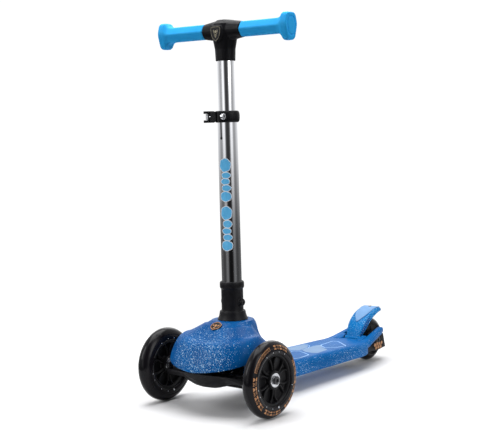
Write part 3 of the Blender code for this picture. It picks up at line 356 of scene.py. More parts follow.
def skin(rings, closed_rows=False, caps=True):
    """Faces between closed rings of equal length."""
    count = len(rings[0])
    verts = [point for ring in rings for point in ring]
    faces = []
    for row in range(len(rings) if closed_rows else len(rings) - 1):
        here = row * count
        there = ((row + 1) % len(rings)) * count
        for col in range(count):
            right = (col + 1) % count
            faces.append((here + col, here + right, there + right, there + col))
    if caps and not closed_rows:
        faces.append(tuple(range(count)))
        faces.append(tuple((len(rings) - 1) * count + i for i in range(count)))
    return verts, faces


def join(*parts):
    """Several (verts, faces) as one."""
    verts, faces = [], []
    for more_verts, more_faces in parts:
        start = len(verts)
        verts += list(more_verts)
        faces += [tuple(start + i for i in face) for face in more_faces]
    return verts, faces


AXES = {"X": (Vector((0, 1, 0)), Vector((0, 0, 1)), Vector((1, 0, 0))),
        "Y": (Vector((0, 0, 1)), Vector((1, 0, 0)), Vector((0, 1, 0))),
        "Z": (Vector((1, 0, 0)), Vector((0, 1, 0)), Vector((0, 0, 1)))}


def lathe(profile, centre, axis="Z", segments=48, hollow=False):
    """A (radius, height) profile turned about an axis. A hollow one closes on itself."""
    u, v, w = AXES[axis]
    base = Vector(centre)
    rings = []
    for radius, height in profile:
        ring = []
        for i in range(segments):
            turn = 2 * pi * i / segments
            spoke = u * cos(turn) + v * sin(turn)
            ring.append(base + spoke * max(radius, 0.01) + w * height)
        rings.append(ring)
    return skin(rings, closed_rows=hollow)


def swept(outline, low, high, axis="Z"):
    """An outline swept straight along an axis. X: (y, z), Y: (x, z), Z: (x, y)."""
    place = {"X": lambda a, b, c: Vector((c, a, b)), "Y": lambda a, b, c: Vector((a, c, b)), "Z": lambda a,
            b, c: Vector((a, b, c))}[axis]
    return skin([[place(a, b, level) for a, b in outline] for level in (low, high)])


def bevelled(made, width, segments=2, angle=35):
    modifier = made.modifiers.new("edges", "BEVEL")
    modifier.width = width * MM
    modifier.segments = segments
    modifier.limit_method = "ANGLE"
    modifier.angle_limit = radians(angle)
    return made


def moulded(made, voxel, passes):
    """Overlapping closed shapes fused into one moulding with softened edges."""
    fuse = made.modifiers.new("fuse", "REMESH")
    fuse.mode = "VOXEL"
    fuse.voxel_size = voxel * MM
    fuse.use_smooth_shade = True
    soft = made.modifiers.new("soft", "SMOOTH")
    soft.factor = 0.5
    soft.iterations = passes
    return made


def from_node(name, node, finish, voxel, passes, slot=None):
    """A moulding with the shape of a CAD node and softened edges."""
    mesh = nodes[node].data
    shape = [vertex.co / MM for vertex in mesh.vertices], [tuple(face.vertices) for face in mesh.polygons]
    return moulded(piece(name, shape, finish, node, slot=slot), voxel, passes)


def plate(outline, place, lift=0.15, sink=0.10, rows=(1.0, 0.66, 0.33)):
    """A thin raised plate on a surface, its outline star-shaped. place(u, v, height) gives a point."""
    count = len(outline)
    mid_u = sum(p[0] for p in outline) / count
    mid_v = sum(p[1] for p in outline) / count
    levels = [(1.0, -sink)] + [(share, lift) for share in rows]
    rings = []
    for share, height in levels:
        rings.append([place(mid_u + (u - mid_u) * share, mid_v + (v - mid_v) * share, height)
                for u, v in outline])
    return skin(rings)


def outset(outline, distance):
    """An outline moved outwards (counter-clockwise outlines) by a distance, corner by corner."""
    count = len(outline)
    made = []
    for i in range(count):
        here = Vector(outline[i])
        back = (here - Vector(outline[i - 1])).normalized()
        ahead = (Vector(outline[(i + 1) % count]) - here).normalized()
        normal = Vector((back.y + ahead.y, -back.x - ahead.x))
        length = max(normal.length, 0.6)
        made.append(tuple(here + normal * (2 * distance / length ** 2)))
    return made


def wound(outline):
    """The outline listed counter-clockwise."""
    area = sum(a[0] * b[1] - b[0] * a[1] for a, b in zip(outline, outline[1:] + outline[:1]))
    return outline if area > 0 else outline[::-1]


def stroke(outline, width, place, lift=0.15, sink=0.10):
    """A thin raised line that follows a closed outline."""
    edge = wound(outline)
    wide, narrow = outset(edge, width / 2), outset(edge, -width / 2)
    rings = [[place(u, v, -sink) for u, v in wide], [place(u, v, lift) for u, v in wide],
            [place(u, v, lift) for u, v in narrow], [place(u, v, -sink) for u, v in narrow]]
    return skin(rings, closed_rows=True)


def regular(sides, radius, turn=0.0, centre=(0, 0)):
    return [(centre[0] + radius * cos(turn + 2 * pi * i / sides),
            centre[1] + radius * sin(turn + 2 * pi * i / sides)) for i in range(sides)]


def socket_head(centre, axis, way, radius, height, recess, depth, segments=36):
    """A round screw head with a hexagonal recess. way is +1 or -1 along the axis."""
    u, v, w = AXES[axis]
    base = Vector(centre)

    def ring(reach, level, hexagonal=False):
        made = []
        for i in range(segments):
            turn = 2 * pi * i / segments
            r = reach
            if hexagonal:
                r = reach * cos(pi / 6) / cos((turn + pi / 6) % (pi / 3) - pi / 6)
            made.append(base + (u * cos(turn) + v * sin(turn)) * r + w * (way * level))
        return made

    soft = min(0.25 * height, 0.12 * radius)
    rings = [ring(radius, 0), ring(radius, height - soft), ring(radius - 0.4 * soft, height - 0.3 * soft),
            ring(radius - soft, height), ring(recess * 1.12, height), ring(recess, height - 0.08 * depth,
            True), ring(recess, height - depth, True), ring(recess * 0.3, height - depth * 1.15)]
    return skin(rings)


# ---- nose: hood, badge ---------------------------------------------------------------------
FRONT_FALL = [(0, 1.0), (0.065, 0.955), (0.28, 0.81), (0.557, 0.65), (0.687, 0.61), (0.8, 0.50),
        (0.9, 0.32), (0.977, 0.12), (1, 0)]
REAR_FALL = [(0, 1.0), (0.1, 0.90), (0.19, 0.70), (0.26, 0.60), (0.39, 0.51), (0.6, 0.38), (0.8, 0.24),
        (1, 0)]


def hood_outline():
    """The nose's lower edge in plan and its height: half an ellipse, then the tail to the deck."""
    points = []
    for step in range(0, 11):
        turn = radians(9 * step)
        height = 68.5 + 15.5 * smooth_step(turn, 0, pi / 2)
        points.append((HOOD_A * sin(turn), -HOOD_B * cos(turn), height))
    bend = ((82, 0.0), (82, 40), (56, 64), (50, 104))
    for step in range(1, 6):
        t = step / 5
        weights = ((1 - t) ** 3, 3 * t * (1 - t) ** 2, 3 * t * t * (1 - t), t ** 3)
        x = sum(w * p[0] for w, p in zip(weights, bend))
        y = sum(w * p[1] for w, p in zip(weights, bend))
        points.append((x, y, 84.0 - 24.6 * smooth_step(t, 0.1, 1)))
    points += [(45.5, 114.5, 59.2), (30, 118, 59.2), (12, 118.5, 59.2)]
    return points + [(-x, y, z) for x, y, z in reversed(points[1:])]


def hood_point(edge, share):
    """A point on the nose between its neck (share 0) and its lower edge (share 1), wings included."""
    x, y, low = edge
    turn = atan2(x, -(y - AXIS_Y))
    around = abs(turn)
    rear = smooth_step(around, radians(75), radians(125))
    fall = spline(FRONT_FALL, share) * (1 - rear) + spline(REAR_FALL, share) * rear
    px = NECK_R * sin(turn) * (1 - share) + x * share
    py = (AXIS_Y - NECK_R * cos(turn)) * (1 - share) + y * share
    pz = low + (HOOD_TOP - low) * fall
    step_line = 0.10 + 0.24 * smooth_step(around, radians(45), radians(118))
    wing = smooth_step(share, step_line, step_line + 0.055) * (1 - smooth_step(share, 0.72, 1.0))
    wing *= smooth_step(around, radians(12), radians(34))
    wing *= 1 - smooth_step(around, radians(112), radians(126))
    swell = 1.9 * wing
    rim = 0.5 * sin(around * 7) * smooth_step(share, 0.9, 1.0)
    return Vector((px + 0.62 * swell * sin(turn), FRONT_Y + py - 0.62 * swell * cos(turn),
            pz + 0.72 * swell + rim))


def hood():
    edges = resample(hood_outline(), 180)
    turns = [atan2(e[0], -(e[1] - AXIS_Y)) for e in edges]

    def collar(radius, height):
        return [Vector((radius * sin(t), FRONT_Y + AXIS_Y - radius * cos(t), height)) for t in turns]

    rings = [collar(21.8, HOOD_TOP - 1.8), collar(21.8, HOOD_TOP), collar(27, HOOD_TOP + 0.1),
            collar(31.2, HOOD_TOP), collar(32.8, HOOD_TOP - 0.4)]
    for step in range(1, 53):
        share = (step / 52) ** 1.15
        rings.append([hood_point(e, share) for e in edges])
    verts, faces = skin(rings, caps=False)
    cover = piece("hood_shell", (verts, faces), HOOD_BLUE, "nose_cover", 50)
    wall = cover.modifiers.new("wall", "SOLIDIFY")
    wall.thickness = 2.6 * MM
    wall.offset = -1
    return bevelled(cover, 0.9, 3, 55)


def nose_place(u, v, height):
    """A point over the front of the neck: u across, v back from the badge's centre, height above the skin."""
    y = 3.5 + v
    share = (hypot(u, y - AXIS_Y) - NECK_R) / 70.7
    skin_z = 69.5 + (HOOD_TOP - 69.5) * spline(FRONT_FALL, share)
    return Vector((u, FRONT_Y + y - 0.5 * height, skin_z + height))


def nose_badge():
    """A small plain plate on the neck: dark, rimmed, with a hexagon and two bars."""
    shape = fillet([(0, -8.2), (9.6, -2.6), (10.2, 4.6), (0, 7.9), (-10.2, 4.6), (-9.6, -2.6)], 4.0, 5)
    face = plate(shape, nose_place, 1.5, 0.6, (1.0, 0.95, 0.6, 0.3))
    piece("nose_badge_face", face, BADGE_BLACK, "nose_badge")
    rim = stroke([(x * 0.95, y * 0.95) for x, y in shape], 0.9, nose_place, 1.8, -1.0)
    piece("nose_badge_rim", rim, COPPER, "chassis")
    marks = [plate(regular(6, 2.5, 0.5, (0, 0.4)), nose_place, 1.75, -1.2)]
    for side in (-1, 1):
        bar = [(side * 3.6, -1.2), (side * 6.6, 0.6), (side * 6.6, 3.0), (side * 3.6, 1.6)]
        marks.append(plate(wound(bar), nose_place, 1.75, -1.2))
    marks.append(plate(fillet([(-2.4, -4.8), (2.4, -4.8), (1.2, -3.2), (-1.2, -3.2)], 0.3), nose_place,
            1.75, -1.2))
    piece("nose_badge_marks", join(*marks), COPPER, "chassis")


# ---- front wheels ----------------------------------------------------------------------------
def tyre_profile(radius, seat):
    """Half of a cast tread's section, from the crown to the seat, as (radius, half width)."""
    half = TYRE_HALF_WIDTH
    return [(radius, 0), (radius - 0.15, 2.2), (radius - 0.8, 4.4), (radius - 2.1, 6.6),
            (radius - 4.0, 8.7), (radius - 6.2, 10.4), (radius - 8.4, 11.5), (radius - 9.6, half),
            (radius - 10.1, half), (radius - 10.5, half - 0.3), (radius - 10.9, half - 0.3),
            (radius - 11.3, half), (seat + 3.2, half - 0.1), (seat + 1.4, half - 0.5),
            (seat + 0.2, half - 1.2), (seat, half - 2.0)]


def tyre(name, node, centre, radius, seat, segments):
    half = tyre_profile(radius, seat)
    profile = half + [(r, -x) for r, x in reversed(half[1:])]
    made = lathe(profile, centre, "X", segments, hollow=True)
    return piece(name, made, TYRE_BLACK, node, 60)


def tyre_face(radius):
    """How far the front tyre's side stands out from its middle at a radius."""
    pairs = sorted((r, x) for r, x in tyre_profile(FRONT_R, FRONT_SEAT))
    return spline(pairs, radius)


def wheel_place(side, centre):
    """Points over a front tyre's outer side: u is the angle in radians, v the radius."""
    def place(u, v, height):
        x = tyre_face(v) + height
        return Vector((centre.x + side * x, centre.y + v * cos(u), centre.z + v * sin(u)))
    return place


def polar_block(start, end, inner, outer, slant=0.0, steps=4):
    """A block in polar coordinates, its sides slanting with the radius."""
    low = [(start + (end - start) * i / steps, inner) for i in range(steps + 1)]
    high = [(end + slant + (start - end) * i / steps, outer) for i in range(steps + 1)]
    return low + high


def side_print(side, word, centre):
    """Copper print round a front tyre: slanted blocks and threes of bars by turns, and a hatched strip."""
    place = wheel_place(side, centre)
    parts = []
    inner, outer = 47.6, 54.0
    slant = radians(1.6)
    for first, count, pitch in ((164, 8, 8.2), (235, 6, 8.0), (293, 12, 8.2), (53, 5, 8.2)):
        for index in range(count):
            start = radians(first + index * pitch)
            end = start + radians(pitch - 1.7)
            if index % 2 == 0:
                parts.append(plate(polar_block(start, end, inner, outer, slant), place))
                continue
            step = (end - start) / 3
            for k in range(3):
                parts.append(plate(polar_block(start + k * step, start + k * step + 0.58 * step, inner,
                        outer, slant), place))
    strip_start, strip_end = radians(104), radians(157)
    low, high = 49.6, 53.6
    for reach in (low, high):
        parts.append(plate(polar_block(strip_start, strip_end, reach - 0.3, reach + 0.3, 0, 30), place,
                rows=(1.0,)))
    for end in (strip_start, strip_end):
        parts.append(plate(polar_block(end - 0.008, end + 0.008, low - 0.3, high + 0.3), place))
    for index in range(30):
        turn = strip_start + (strip_end - strip_start) * (index + 0.5) / 31
        parts.append(plate(polar_block(turn, turn + 0.007, low + 0.8, high - 0.8, 0.02), place))
    piece("side_print_" + word, join(*parts), COPPER, "front_wheel_" + word)


def rib(hub, sections, wide, corner, level):
    """A wheel's rib through sections of (radius, angle, half height), its edges cut at corner and level."""
    outline = [(-1, -level), (-corner, -1), (corner, -1), (1, -level)]
    outline += [(-x, -y) for x, y in outline]
    rings = []
    for radius, turn, tall in sections:
        out = Vector((0, cos(turn), sin(turn)))
        across = Vector((0, -sin(turn), cos(turn)))
        heart = Vector(hub) + out * radius
        rings.append([heart + across * (wide * x) + Vector((tall * y, 0, 0)) for x, y in outline])
    return skin(rings)


def front_rim(word, centre):
    """Hub and rim ring on a closed web, with six pairs of curved ribs that open outwards."""
    hub, edge, bore, face = 14.5, 40.0, 11.2, 11.5
    half = [(bore, face - 0.6), (bore + 0.6, face), (hub - 0.9, face), (hub, face - 0.9), (hub + 0.3, 4.2),
            (hub + 1.6, 3.0), (33.6, 3.0), (35.0, 4.0), (36.0, 9.2), (36.7, 9.9), (37.6, 9.9), (38.1, 9.5),
            (38.9, 9.5), (39.3, 9.8), (edge - 0.2, 9.8), (edge, 9.6)]
    profile = half[::-1] + [(r, -x) for r, x in half]
    parts = [lathe(profile, centre, "X", 96, hollow=True)]
    for pair in range(6):
        for lean in (-1, 1):
            sections = []
            for step in range(11):
                t = step / 10
                turn = radians(60 * pair + 30 + lean * (8.6 - 13.0 * t + 19.5 * t * t))
                sections.append((13.8 + 22.0 * t, turn, 8.6 - 2.0 * t + 1.2 * t ** 4))
            parts.append(rib(centre, sections, 1.35, 0.45, 0.9))
    return piece("wheel_rim_" + word, join(*parts), RIM_BLACK, "front_rim_" + word, 40)


def bearing(name, node, hub, outward):
    """A sealed bearing: outer race, sunk shield and inner race. outward says which face is dished."""
    low, high = (corner.x for corner in box(node)[:2])
    bore = 4.1
    rows = [(bore, 0), (6.2, 0), (6.3, 0.35), (9.1, 0.35), (9.2, 0.05), (10.8, 0.0), (10.98, 0.2)]
    if outward > 0:
        profile = [(r, high - x) for r, x in rows] + [(10.98, low + 0.2), (10.8, low), (bore, low)]
    else:
        profile = [(r, low + x) for r, x in rows] + [(10.98, high - 0.2), (10.8, high), (bore, high)]
    made = lathe(profile, (0, hub.y, hub.z), "X", 64, hollow=True)
    return piece(name, made, ZINC, node, 30)


def axle_bolt(side, word):
    """The wheel's axle: shank, domed head with a hexagonal recess."""
    low, high, _ = box("axle_bolt_" + word)
    centre = Vector((0, FRONT_HUB.y, FRONT_HUB.z))
    inner, outer = (low.x, high.x) if side > 0 else (high.x, low.x)
    seat = outer - side * 3.0
    shank = lathe([(0, inner), (3.5, inner), (3.95, inner + side * 0.6), (3.95, seat), (0, seat)], centre,
            "X", 40)
    head = socket_head(centre + Vector((seat, 0, 0)), "X", side, 6.5, 2.9, 3.4, 2.2)
    return piece("wheel_bolt_" + word, join(shank, head), DARK_STEEL, "axle_bolt_" + word, 30,
            slot="black_steel")


def painted_glint_lenses(word, centre):
    """Small pale domes on both sides of the wheel's cast ring, at listed angles where the wheels show glints,
    one of them larger; their pale colour is a painted glint.
    """
    parts = []
    # The angles are where the wheels show glints; the larger dome marks the brightest one, painted by the
    # pale lens colour.
    for turn in (278, 57, 77, 96, 118, 236, 258, 190, 205, 340):
        angle = radians(turn)
        spot = Vector((0, cos(angle), sin(angle))) * 43.6
        size = 1.5 if turn == 278 else 0.75
        for way in (-1, 1):
            heart = centre + spot + Vector((way * (TYRE_HALF_WIDTH - 0.35), 0, 0))
            dome = [(size, 0), (size * 0.93, 0.22), (size * 0.72, 0.42), (size * 0.40, 0.54), (0, 0.58)]
            parts.append(lathe([(r, way * x) for r, x in dome], heart, "X", 20))
    return piece("painted_glint_lenses_" + word, join(*parts), GLINT_LENS, "front_wheel_" + word)


def front_wheel(side, word):
    centre = box("front_tyre_" + word)[2]
    tyre("wheel_tread_" + word, "front_tyre_" + word, centre, FRONT_R, FRONT_SEAT, 128)
    front_rim(word, centre)
    side_print(side, word, centre)
    painted_glint_lenses(word, centre)
    for place in ("outer", "inner"):
        node = "front_bearing_" + place + "_" + word
        bearing("wheel_bearing_" + place + "_" + word, node, centre, side if place == "outer" else -side)
    axle_bolt(side, word)


# ---- deck and its print ----------------------------------------------------------------------
def deck_place(u, v, height):
    """A point over the deck's flat top: u across, v back from the front wheels' axle."""
    return Vector((u, FRONT_Y + v, DECK_TOP + DECK_TOP_SLOPE * (v - 120) + height))


def deck():
    from_node("deck_shell", "deck_board", DECK_BLUE, 1.0, 8)
    rings = []
    for v, half, drop in ((368.5, 27.5, 0.05), (383.0, 27.0, 0.0), (383.6, 20.5, 0.0), (386.4, 20.3, 0.0),
            (387.2, 20.0, 0.4), (387.4, 19.8, 1.4)):
        top = deck_place(0, v, 0).z - drop
        sole = 44.2
        rings.append([Vector((x, FRONT_Y + v, z)) for x, z in ((-half, sole), (half, sole),
                (half, top - 0.4), (half - 0.5, top), (half / 2, top), (0, top), (-half / 2, top),
                (0.5 - half, top), (-half, top - 0.4))])
    piece("deck_tail_apron", skin(rings), DECK_BLUE, "chassis")
    for side, word in SIDES:
        rings = []
        for v, inner, outer, top in ((376.0, 17.6, 29.2, 48.9), (383.0, 17.6, 28.2, 50.6),
                (389.0, 17.6, 27.6, 52.6), (394.0, 17.6, 27.2, 54.0), (396.6, 17.9, 26.9, 54.2),
                (397.8, 18.6, 26.6, 53.0)):
            outline = [(inner, 44.0), (outer, 44.0), (outer, top - 0.6), (outer - 0.6, top),
                    (inner + 1.2, top), (inner + 0.3, top - 0.4), (inner, top - 1.2)]
            rings.append([Vector((side * x, FRONT_Y + v, z)) for x, z in outline])
        piece("deck_tail_cheek_" + word, skin(rings), DECK_BLUE, "chassis")
    leaf = [(-34, 232), (-33, 285), (-19, 277), (-8, 258), (-4, 230), (-18, 219)]
    leaf_two = [(-10, 279), (-6, 295), (11, 278), (32, 264), (37, 228), (28, 221), (11, 225), (-4, 236),
            (-4, 252)]
    open_one = [(-5, 296), (-12, 343), (-2, 346), (35, 317), (32, 290), (17, 278), (2, 288)]
    open_two = [(-4, 201), (-8, 214), (2, 222), (16, 216), (35, 204), (40, 170), (34, 158), (18, 166)]
    leaf_three = [(-36, 176), (-34, 222), (-20, 212), (-11, 196), (-9, 172), (-22, 163)]
    leaf_four = [(-8, 152), (-6, 168), (10, 158), (28, 148), (34, 131), (22, 128), (4, 134)]
    filled, lines = [], []
    for outline in (leaf, leaf_two, leaf_three, leaf_four):
        shape = fillet(outline, 1.6, 2)
        filled.append(plate(wound(shape), deck_place, 0.14, 0.08, (1.0,)))
    for outline in (open_one, open_two):
        shape = fillet(outline, 2.0, 2)
        lines.append(stroke(shape, 1.5, deck_place, 0.14, 0.08))
    for outline in (leaf, leaf_three):
        shape = wound(outline)
        lines.append(stroke(fillet(outset(shape, 2.6), 2.4, 2), 0.9, deck_place, 0.14, 0.08))
    piece("deck_print_shapes", join(*filled), PRINT_BLUE, "chassis")
    piece("deck_print_lines", join(*lines), WHITE_BLUE, "chassis")


def deck_screws():
    for _, word in SIDES:
        node = "deck_screw_" + word
        low, high, spot = box(node)
        centre = Vector((spot.x, spot.y, 0))
        shank = lathe([(0, low.z + 1.5), (1.9, low.z + 1.5), (1.9, high.z), (0, high.z)], centre, "Z", 20)
        head = socket_head(centre + Vector((0, 0, low.z + 2.0)), "Z", -1, 4.1, 2.0, 2.0, 1.2)
        piece("board_screw_" + word, join(shank, head), ZINC, node, 30)


# ---- rear end --------------------------------------------------------------------------------
BRAKE_LINE = [(389.3, 47.5), (392.5, 56), (399, 68), (409, 79), (422, 88.5), (437, 95), (451, 98),
        (463, 97), (471, 93.5)]
BRAKE_WIDTHS = {"crown": [12.5, 14.5, 16, 17, 17.5, 17.5, 17, 15.8, 11.5],
        "side": [15.5, 16.6, 19.5, 20.8, 20.8, 20.5, 19.8, 18.3, 13.5],
        "skirt": [3, 7, 9, 9, 9, 8.5, 7.5, 5.5, 3]}


def brake_at(station):
    """The pedal's crown line at a station (0 to 8): its point and the direction square to the crown."""
    def line(s):
        return Vector((0, FRONT_Y + spline([(i, p[0]) for i, p in enumerate(BRAKE_LINE)], s),
                spline([(i, p[1]) for i, p in enumerate(BRAKE_LINE)], s)))
    heart = line(station)
    along = (line(min(8.0, station + 0.05)) - line(max(0.0, station - 0.05))).normalized()
    return heart, Vector((0, -along.z, along.y))


def over_crown(station, points):
    """Points of a section square to the pedal's crown, from (across, height)."""
    heart, up = brake_at(station)
    return [heart + Vector((x, 0, 0)) + up * level for x, level in points]


def brake_width(kind, station):
    return spline(list(enumerate(BRAKE_WIDTHS[kind])), station)


def brake_side_place(side):
    """Points over the pedal's side skirt: u the station, v from 0 at the crown to 1 at the hem."""
    def place(u, v, height):
        heart, up = brake_at(u)
        crown, hem, skirt = (brake_width(k, u) for k in ("crown", "side", "skirt"))
        slope = Vector((side * skirt, 0, 0)) + up * (hem - crown)
        return (heart + Vector((side * (crown + (hem - crown) * v), 0, 0)) - up * (skirt * v)
                + slope.normalized() * height)
    return place


def brake_pedal():
    rings = []
    for step in range(61):
        station = 8 * step / 60
        crown, side, skirt = (brake_width(k, station) for k in ("crown", "side", "skirt"))
        outer = fillet([(-side, -skirt), (-crown, 0.0), (crown, 0.0), (side, -skirt)], [0, 3.2, 3.2, 0], 5,
                closed=False)
        under, edge = crown - 1.4, side - 2.2
        inner = fillet([(edge, -skirt), (under, -2.4), (-under, -2.4), (-edge, -skirt)], [0, 1.6, 1.6, 0],
                3, closed=False)
        rings.append(over_crown(station, outer + inner))
    pedal = piece("brake_mudguard", skin(rings), BRAKE_BLUE, "brake_pedal", 45)
    bevelled(pedal, 0.7, 3, 50)
    hinge = box("brake_pin")[2]
    barrel = lathe([(2.6, -16.5), (3.9, -16.5), (4.3, -16.0), (4.3, 16.0), (3.9, 16.5), (2.6, 16.5)],
            Vector((0, hinge.y, hinge.z)), "X", 40, hollow=True)
    piece("brake_hinge_barrel", barrel, BRAKE_BLUE, "brake")
    ribs = []
    for x in (-11.6, 11.6):
        rows = []
        for step in range(25):
            station = 0.7 + 6.0 * step / 24
            rows.append(over_crown(station, ((x - 0.7, -2.0), (x + 0.7, -2.0), (x + 0.5, -3.4),
                    (x - 0.5, -3.4))))
        ribs.append(skin(rows))
    piece("brake_inner_ribs", join(*ribs), BRAKE_BLUE, "brake")
    for side, word in SIDES:
        place = brake_side_place(side)
        # Each side skirt gets a darker strip, raised a hair: the painted shade of the recess in the pedal's
        # side.
        rows = []
        for step in range(31):
            u = 0.75 + 3.0 * step / 30
            rows.append([place(u, 0.20, -0.1), place(u, 0.24, 0.16), place(u, 0.80, 0.16),
                    place(u, 0.84, -0.1)])
        piece("brake_side_recess_shade_" + word, skin(rows), RECESS_SHADE_BLUE, "brake")
        dots = []
        for index in range(9):
            u = 0.95 + 2.5 * index / 8
            heart = place(u, 0.42, 0.14)
            dome = ((0.62, -0.1), (0.55, 0.16), (0.30, 0.30), (0, 0.34))
            dots.append(lathe([(r, side * x) for r, x in dome], heart, "X", 12))
        piece("brake_side_dots_" + word, join(*dots), PRINT_BLUE, "brake")


def brake_tread():
    halves = [(2.8, 0.8), (3.0, 3.2), (3.35, 7.0), (3.7, 10.6), (4.3, 13.2), (5.0, 14.6), (6.0, 15.0),
            (7.0, 13.8), (7.35, 12.0)]
    rings = []
    for step in range(49):
        station = 2.8 + 4.55 * step / 48
        half = spline(halves, station)
        soft = min(0.5, half * 0.3)
        ring = [(-half, 0.3), (half, 0.3), (half, 1.0), (half - soft, 1.4)]
        ring += [((half - soft) * k / 4, 1.4) for k in (3, 2, 1, 0, -1, -2, -3)]
        ring += [(soft - half, 1.4), (-half, 1.0)]
        rings.append(over_crown(station, ring))
    pad = piece("brake_pad_inlay", skin(rings), PAD_BLUE, "brake_tread", 45)
    bevelled(pad, 0.25, 2, 50)
    mark = lathe([(0, 0.9), (2.9, 0.9), (2.9, 1.8), (2.4, 2.1), (0, 2.1)], (0, 0, 0), "Z", 28)
    rivet_station = 6.1
    heart, up = brake_at(rivet_station)
    tilt = Vector((0, 0, 1)).rotation_difference(up).to_matrix()
    piece("brake_pad_rivet", ([heart + tilt @ v for v in mark[0]], mark[1]), DARK_STEEL, "brake",
            slot="black_steel")


def rear_bracket():
    from_node("rear_fork", "rear_bracket", BLACK, 0.6, 6)
    face_x = box("rear_bracket")[1].x
    for side, word in SIDES:
        def place(u, v, height, side=side):
            return Vector((side * (face_x + height), FRONT_Y + u, v))

        parts = []
        for index, (centre_y, centre_z, size) in enumerate(((421, 33.0, 3.6), (428.5, 34.4, 3.2),
                (436, 33.6, 3.4), (443.5, 34.6, 3.0), (424.5, 27.2, 3.2), (432.0, 27.8, 3.5),
                (439.8, 27.6, 3.3))):
            shape = fillet(regular(5 + index % 2, size, 0.4 + index, (centre_y, centre_z)), 0.8, 2)
            parts.append(plate(shape, place, 0.25, 0.3, (1.0, 0.5)))
        for index in range(3):
            y = 425 + 7.4 * index
            bar = [(y, 30.0), (y + 4.6, 31.6), (y + 4.2, 32.8), (y - 0.6, 31.4)]
            parts.append(plate(wound(bar), place, 0.25, 0.3, (1.0, 0.5)))
        piece("fork_print_" + word, join(*parts), COPPER, "chassis")


def rear_wheel():
    hub = REAR_HUB
    tyre("wheel_tread_rear", "rear_tyre", hub, REAR_R, REAR_SEAT, 96)
    half = [(11.2, 11.0), (11.7, 11.5), (14.4, 11.5), (15.2, 10.8), (16.4, 6.3), (17.4, 5.8), (22.6, 5.8),
            (23.6, 6.3), (26.4, 9.6), (27.2, 10.0), (27.5, 9.7)]
    parts = [lathe(half[::-1] + [(r, -x) for r, x in half], hub, "X", 80, hollow=True)]
    for index in range(9):
        turn = 2 * pi * index / 9
        sections = [(r, turn, tall) for r, tall in ((14.8, 9.6), (18.0, 7.2), (22.0, 6.8), (25.6, 8.0))]
        parts.append(rib(hub, sections, 0.9, 0.5, 0.92))
    piece("wheel_rim_rear", join(*parts), RIM_BLACK, "rear_rim", 40)
    for outward, word in SIDES:
        bearing("wheel_bearing_rear_" + word, "rear_bearing_" + word, hub, outward)


def rear_hardware():
    low, high, _ = box("rear_axle")
    centre = Vector((0, REAR_HUB.y, REAR_HUB.z))
    seat = high.x - 3.8
    shank = lathe([(0, low.x), (3.5, low.x), (3.95, low.x + 0.5), (3.95, seat), (0, seat)], centre, "X", 40)
    head = socket_head(centre + Vector((seat, 0, 0)), "X", 1, 7.1, 3.6, 3.2, 2.4)
    piece("rear_bolt", join(shank, head), DARK_STEEL, "rear_axle", 30, slot="black_steel")
    low, high, _ = box("rear_axle_nut")
    nut = hexagon_nut(centre, "X", 7.0, 4.15, low.x, high.x)
    piece("rear_nut", nut, ZINC, "rear_axle_nut", 30)
    for word in ("left", "right"):
        node = "rear_spacer_" + word
        low, high, _ = box(node)
        ring = turned(low.x, high.x, 4.35, 6.2, 0.3, 0.3)
        piece("wheel_spacer_" + word, lathe(ring, centre, "X", 40, hollow=True), DARK_STEEL, node, 30,
                slot="black_steel")
    low, high, spot = box("brake_pin")
    pin = turned(low.x, high.x, 0, 2.45, 0.35, 0.4)
    piece("brake_hinge_pin", lathe(pin, (0, spot.y, spot.z), "X", 32), ZINC, "brake_pin", 30)
    low, high, _ = box("brake_spring")
    turns = spring(Vector((0, spot.y, spot.z)), "X", 3.6, 0.55, low.x + 0.6, high.x - 0.6, 2)
    piece("brake_coil", turns, DARK_STEEL, "brake_spring", 60)


def turned(low, high, bore, outer, cut, rise):
    """The profile of a pin or ring between two heights, its outer edges broken by cut and rise."""
    return [(bore, low), (outer - cut, low), (outer, low + rise), (outer, high - rise), (outer - cut, high),
            (bore, high)]


def hexagon_nut(centre, axis, radius, bore, low, high, segments=48):
    """A nut with chamfered corners: hexagonal outside, round inside."""
    u, v, w = AXES[axis]
    base = Vector(centre)
    rows = ((bore, low, False), (radius * 0.90, low, False), (radius, low + 0.5, True),
            (radius, high - 0.5, True), (radius * 0.90, high, False), (bore, high, False))
    rings = []
    for reach, level, hexagonal in rows:
        ring = []
        for i in range(segments):
            turn = 2 * pi * i / segments
            flat = reach * cos(pi / 6)
            r = flat / cos((turn + pi / 6) % (pi / 3) - pi / 6) if hexagonal else min(reach, flat * 1.02)
            if reach == bore:
                r = bore
            ring.append(base + (u * cos(turn) + v * sin(turn)) * r + w * level)
        rings.append(ring)
    return skin(rings, closed_rows=True)


def spring(centre, axis, radius, wire, low, high, turns, sides=8, steps=28):
    """A round-wire coil spring."""
    u, v, w = AXES[axis]
    base = Vector(centre)
    rings = []
    for i in range(turns * steps + 1):
        turn = 2 * pi * i / steps
        out = u * cos(turn) + v * sin(turn)
        heart = base + out * radius + w * (low + (high - low) * i / (turns * steps))
        rings.append([heart + out * (wire * cos(2 * pi * k / sides)) + w * (wire * sin(2 * pi * k / sides))
                for k in range(sides)])
    return skin(rings)


# ---- steering under the nose -----------------------------------------------------------------
def bowl_floor(x, y):
    """The height of the bowl's underside at a point, from its distances to the centre lines."""
    across = spline([(0, 0), (15, 0.5), (31, 4.5), (46, 10.0), (83, 10.3)], abs(x))
    along = spline([(0, 0), (9.8, 0), (22, 1.2), (40, 8.0), (50, 17.5)], abs(y))
    return 37.2 + across + along * (1 + min(abs(x), 40) / 50)


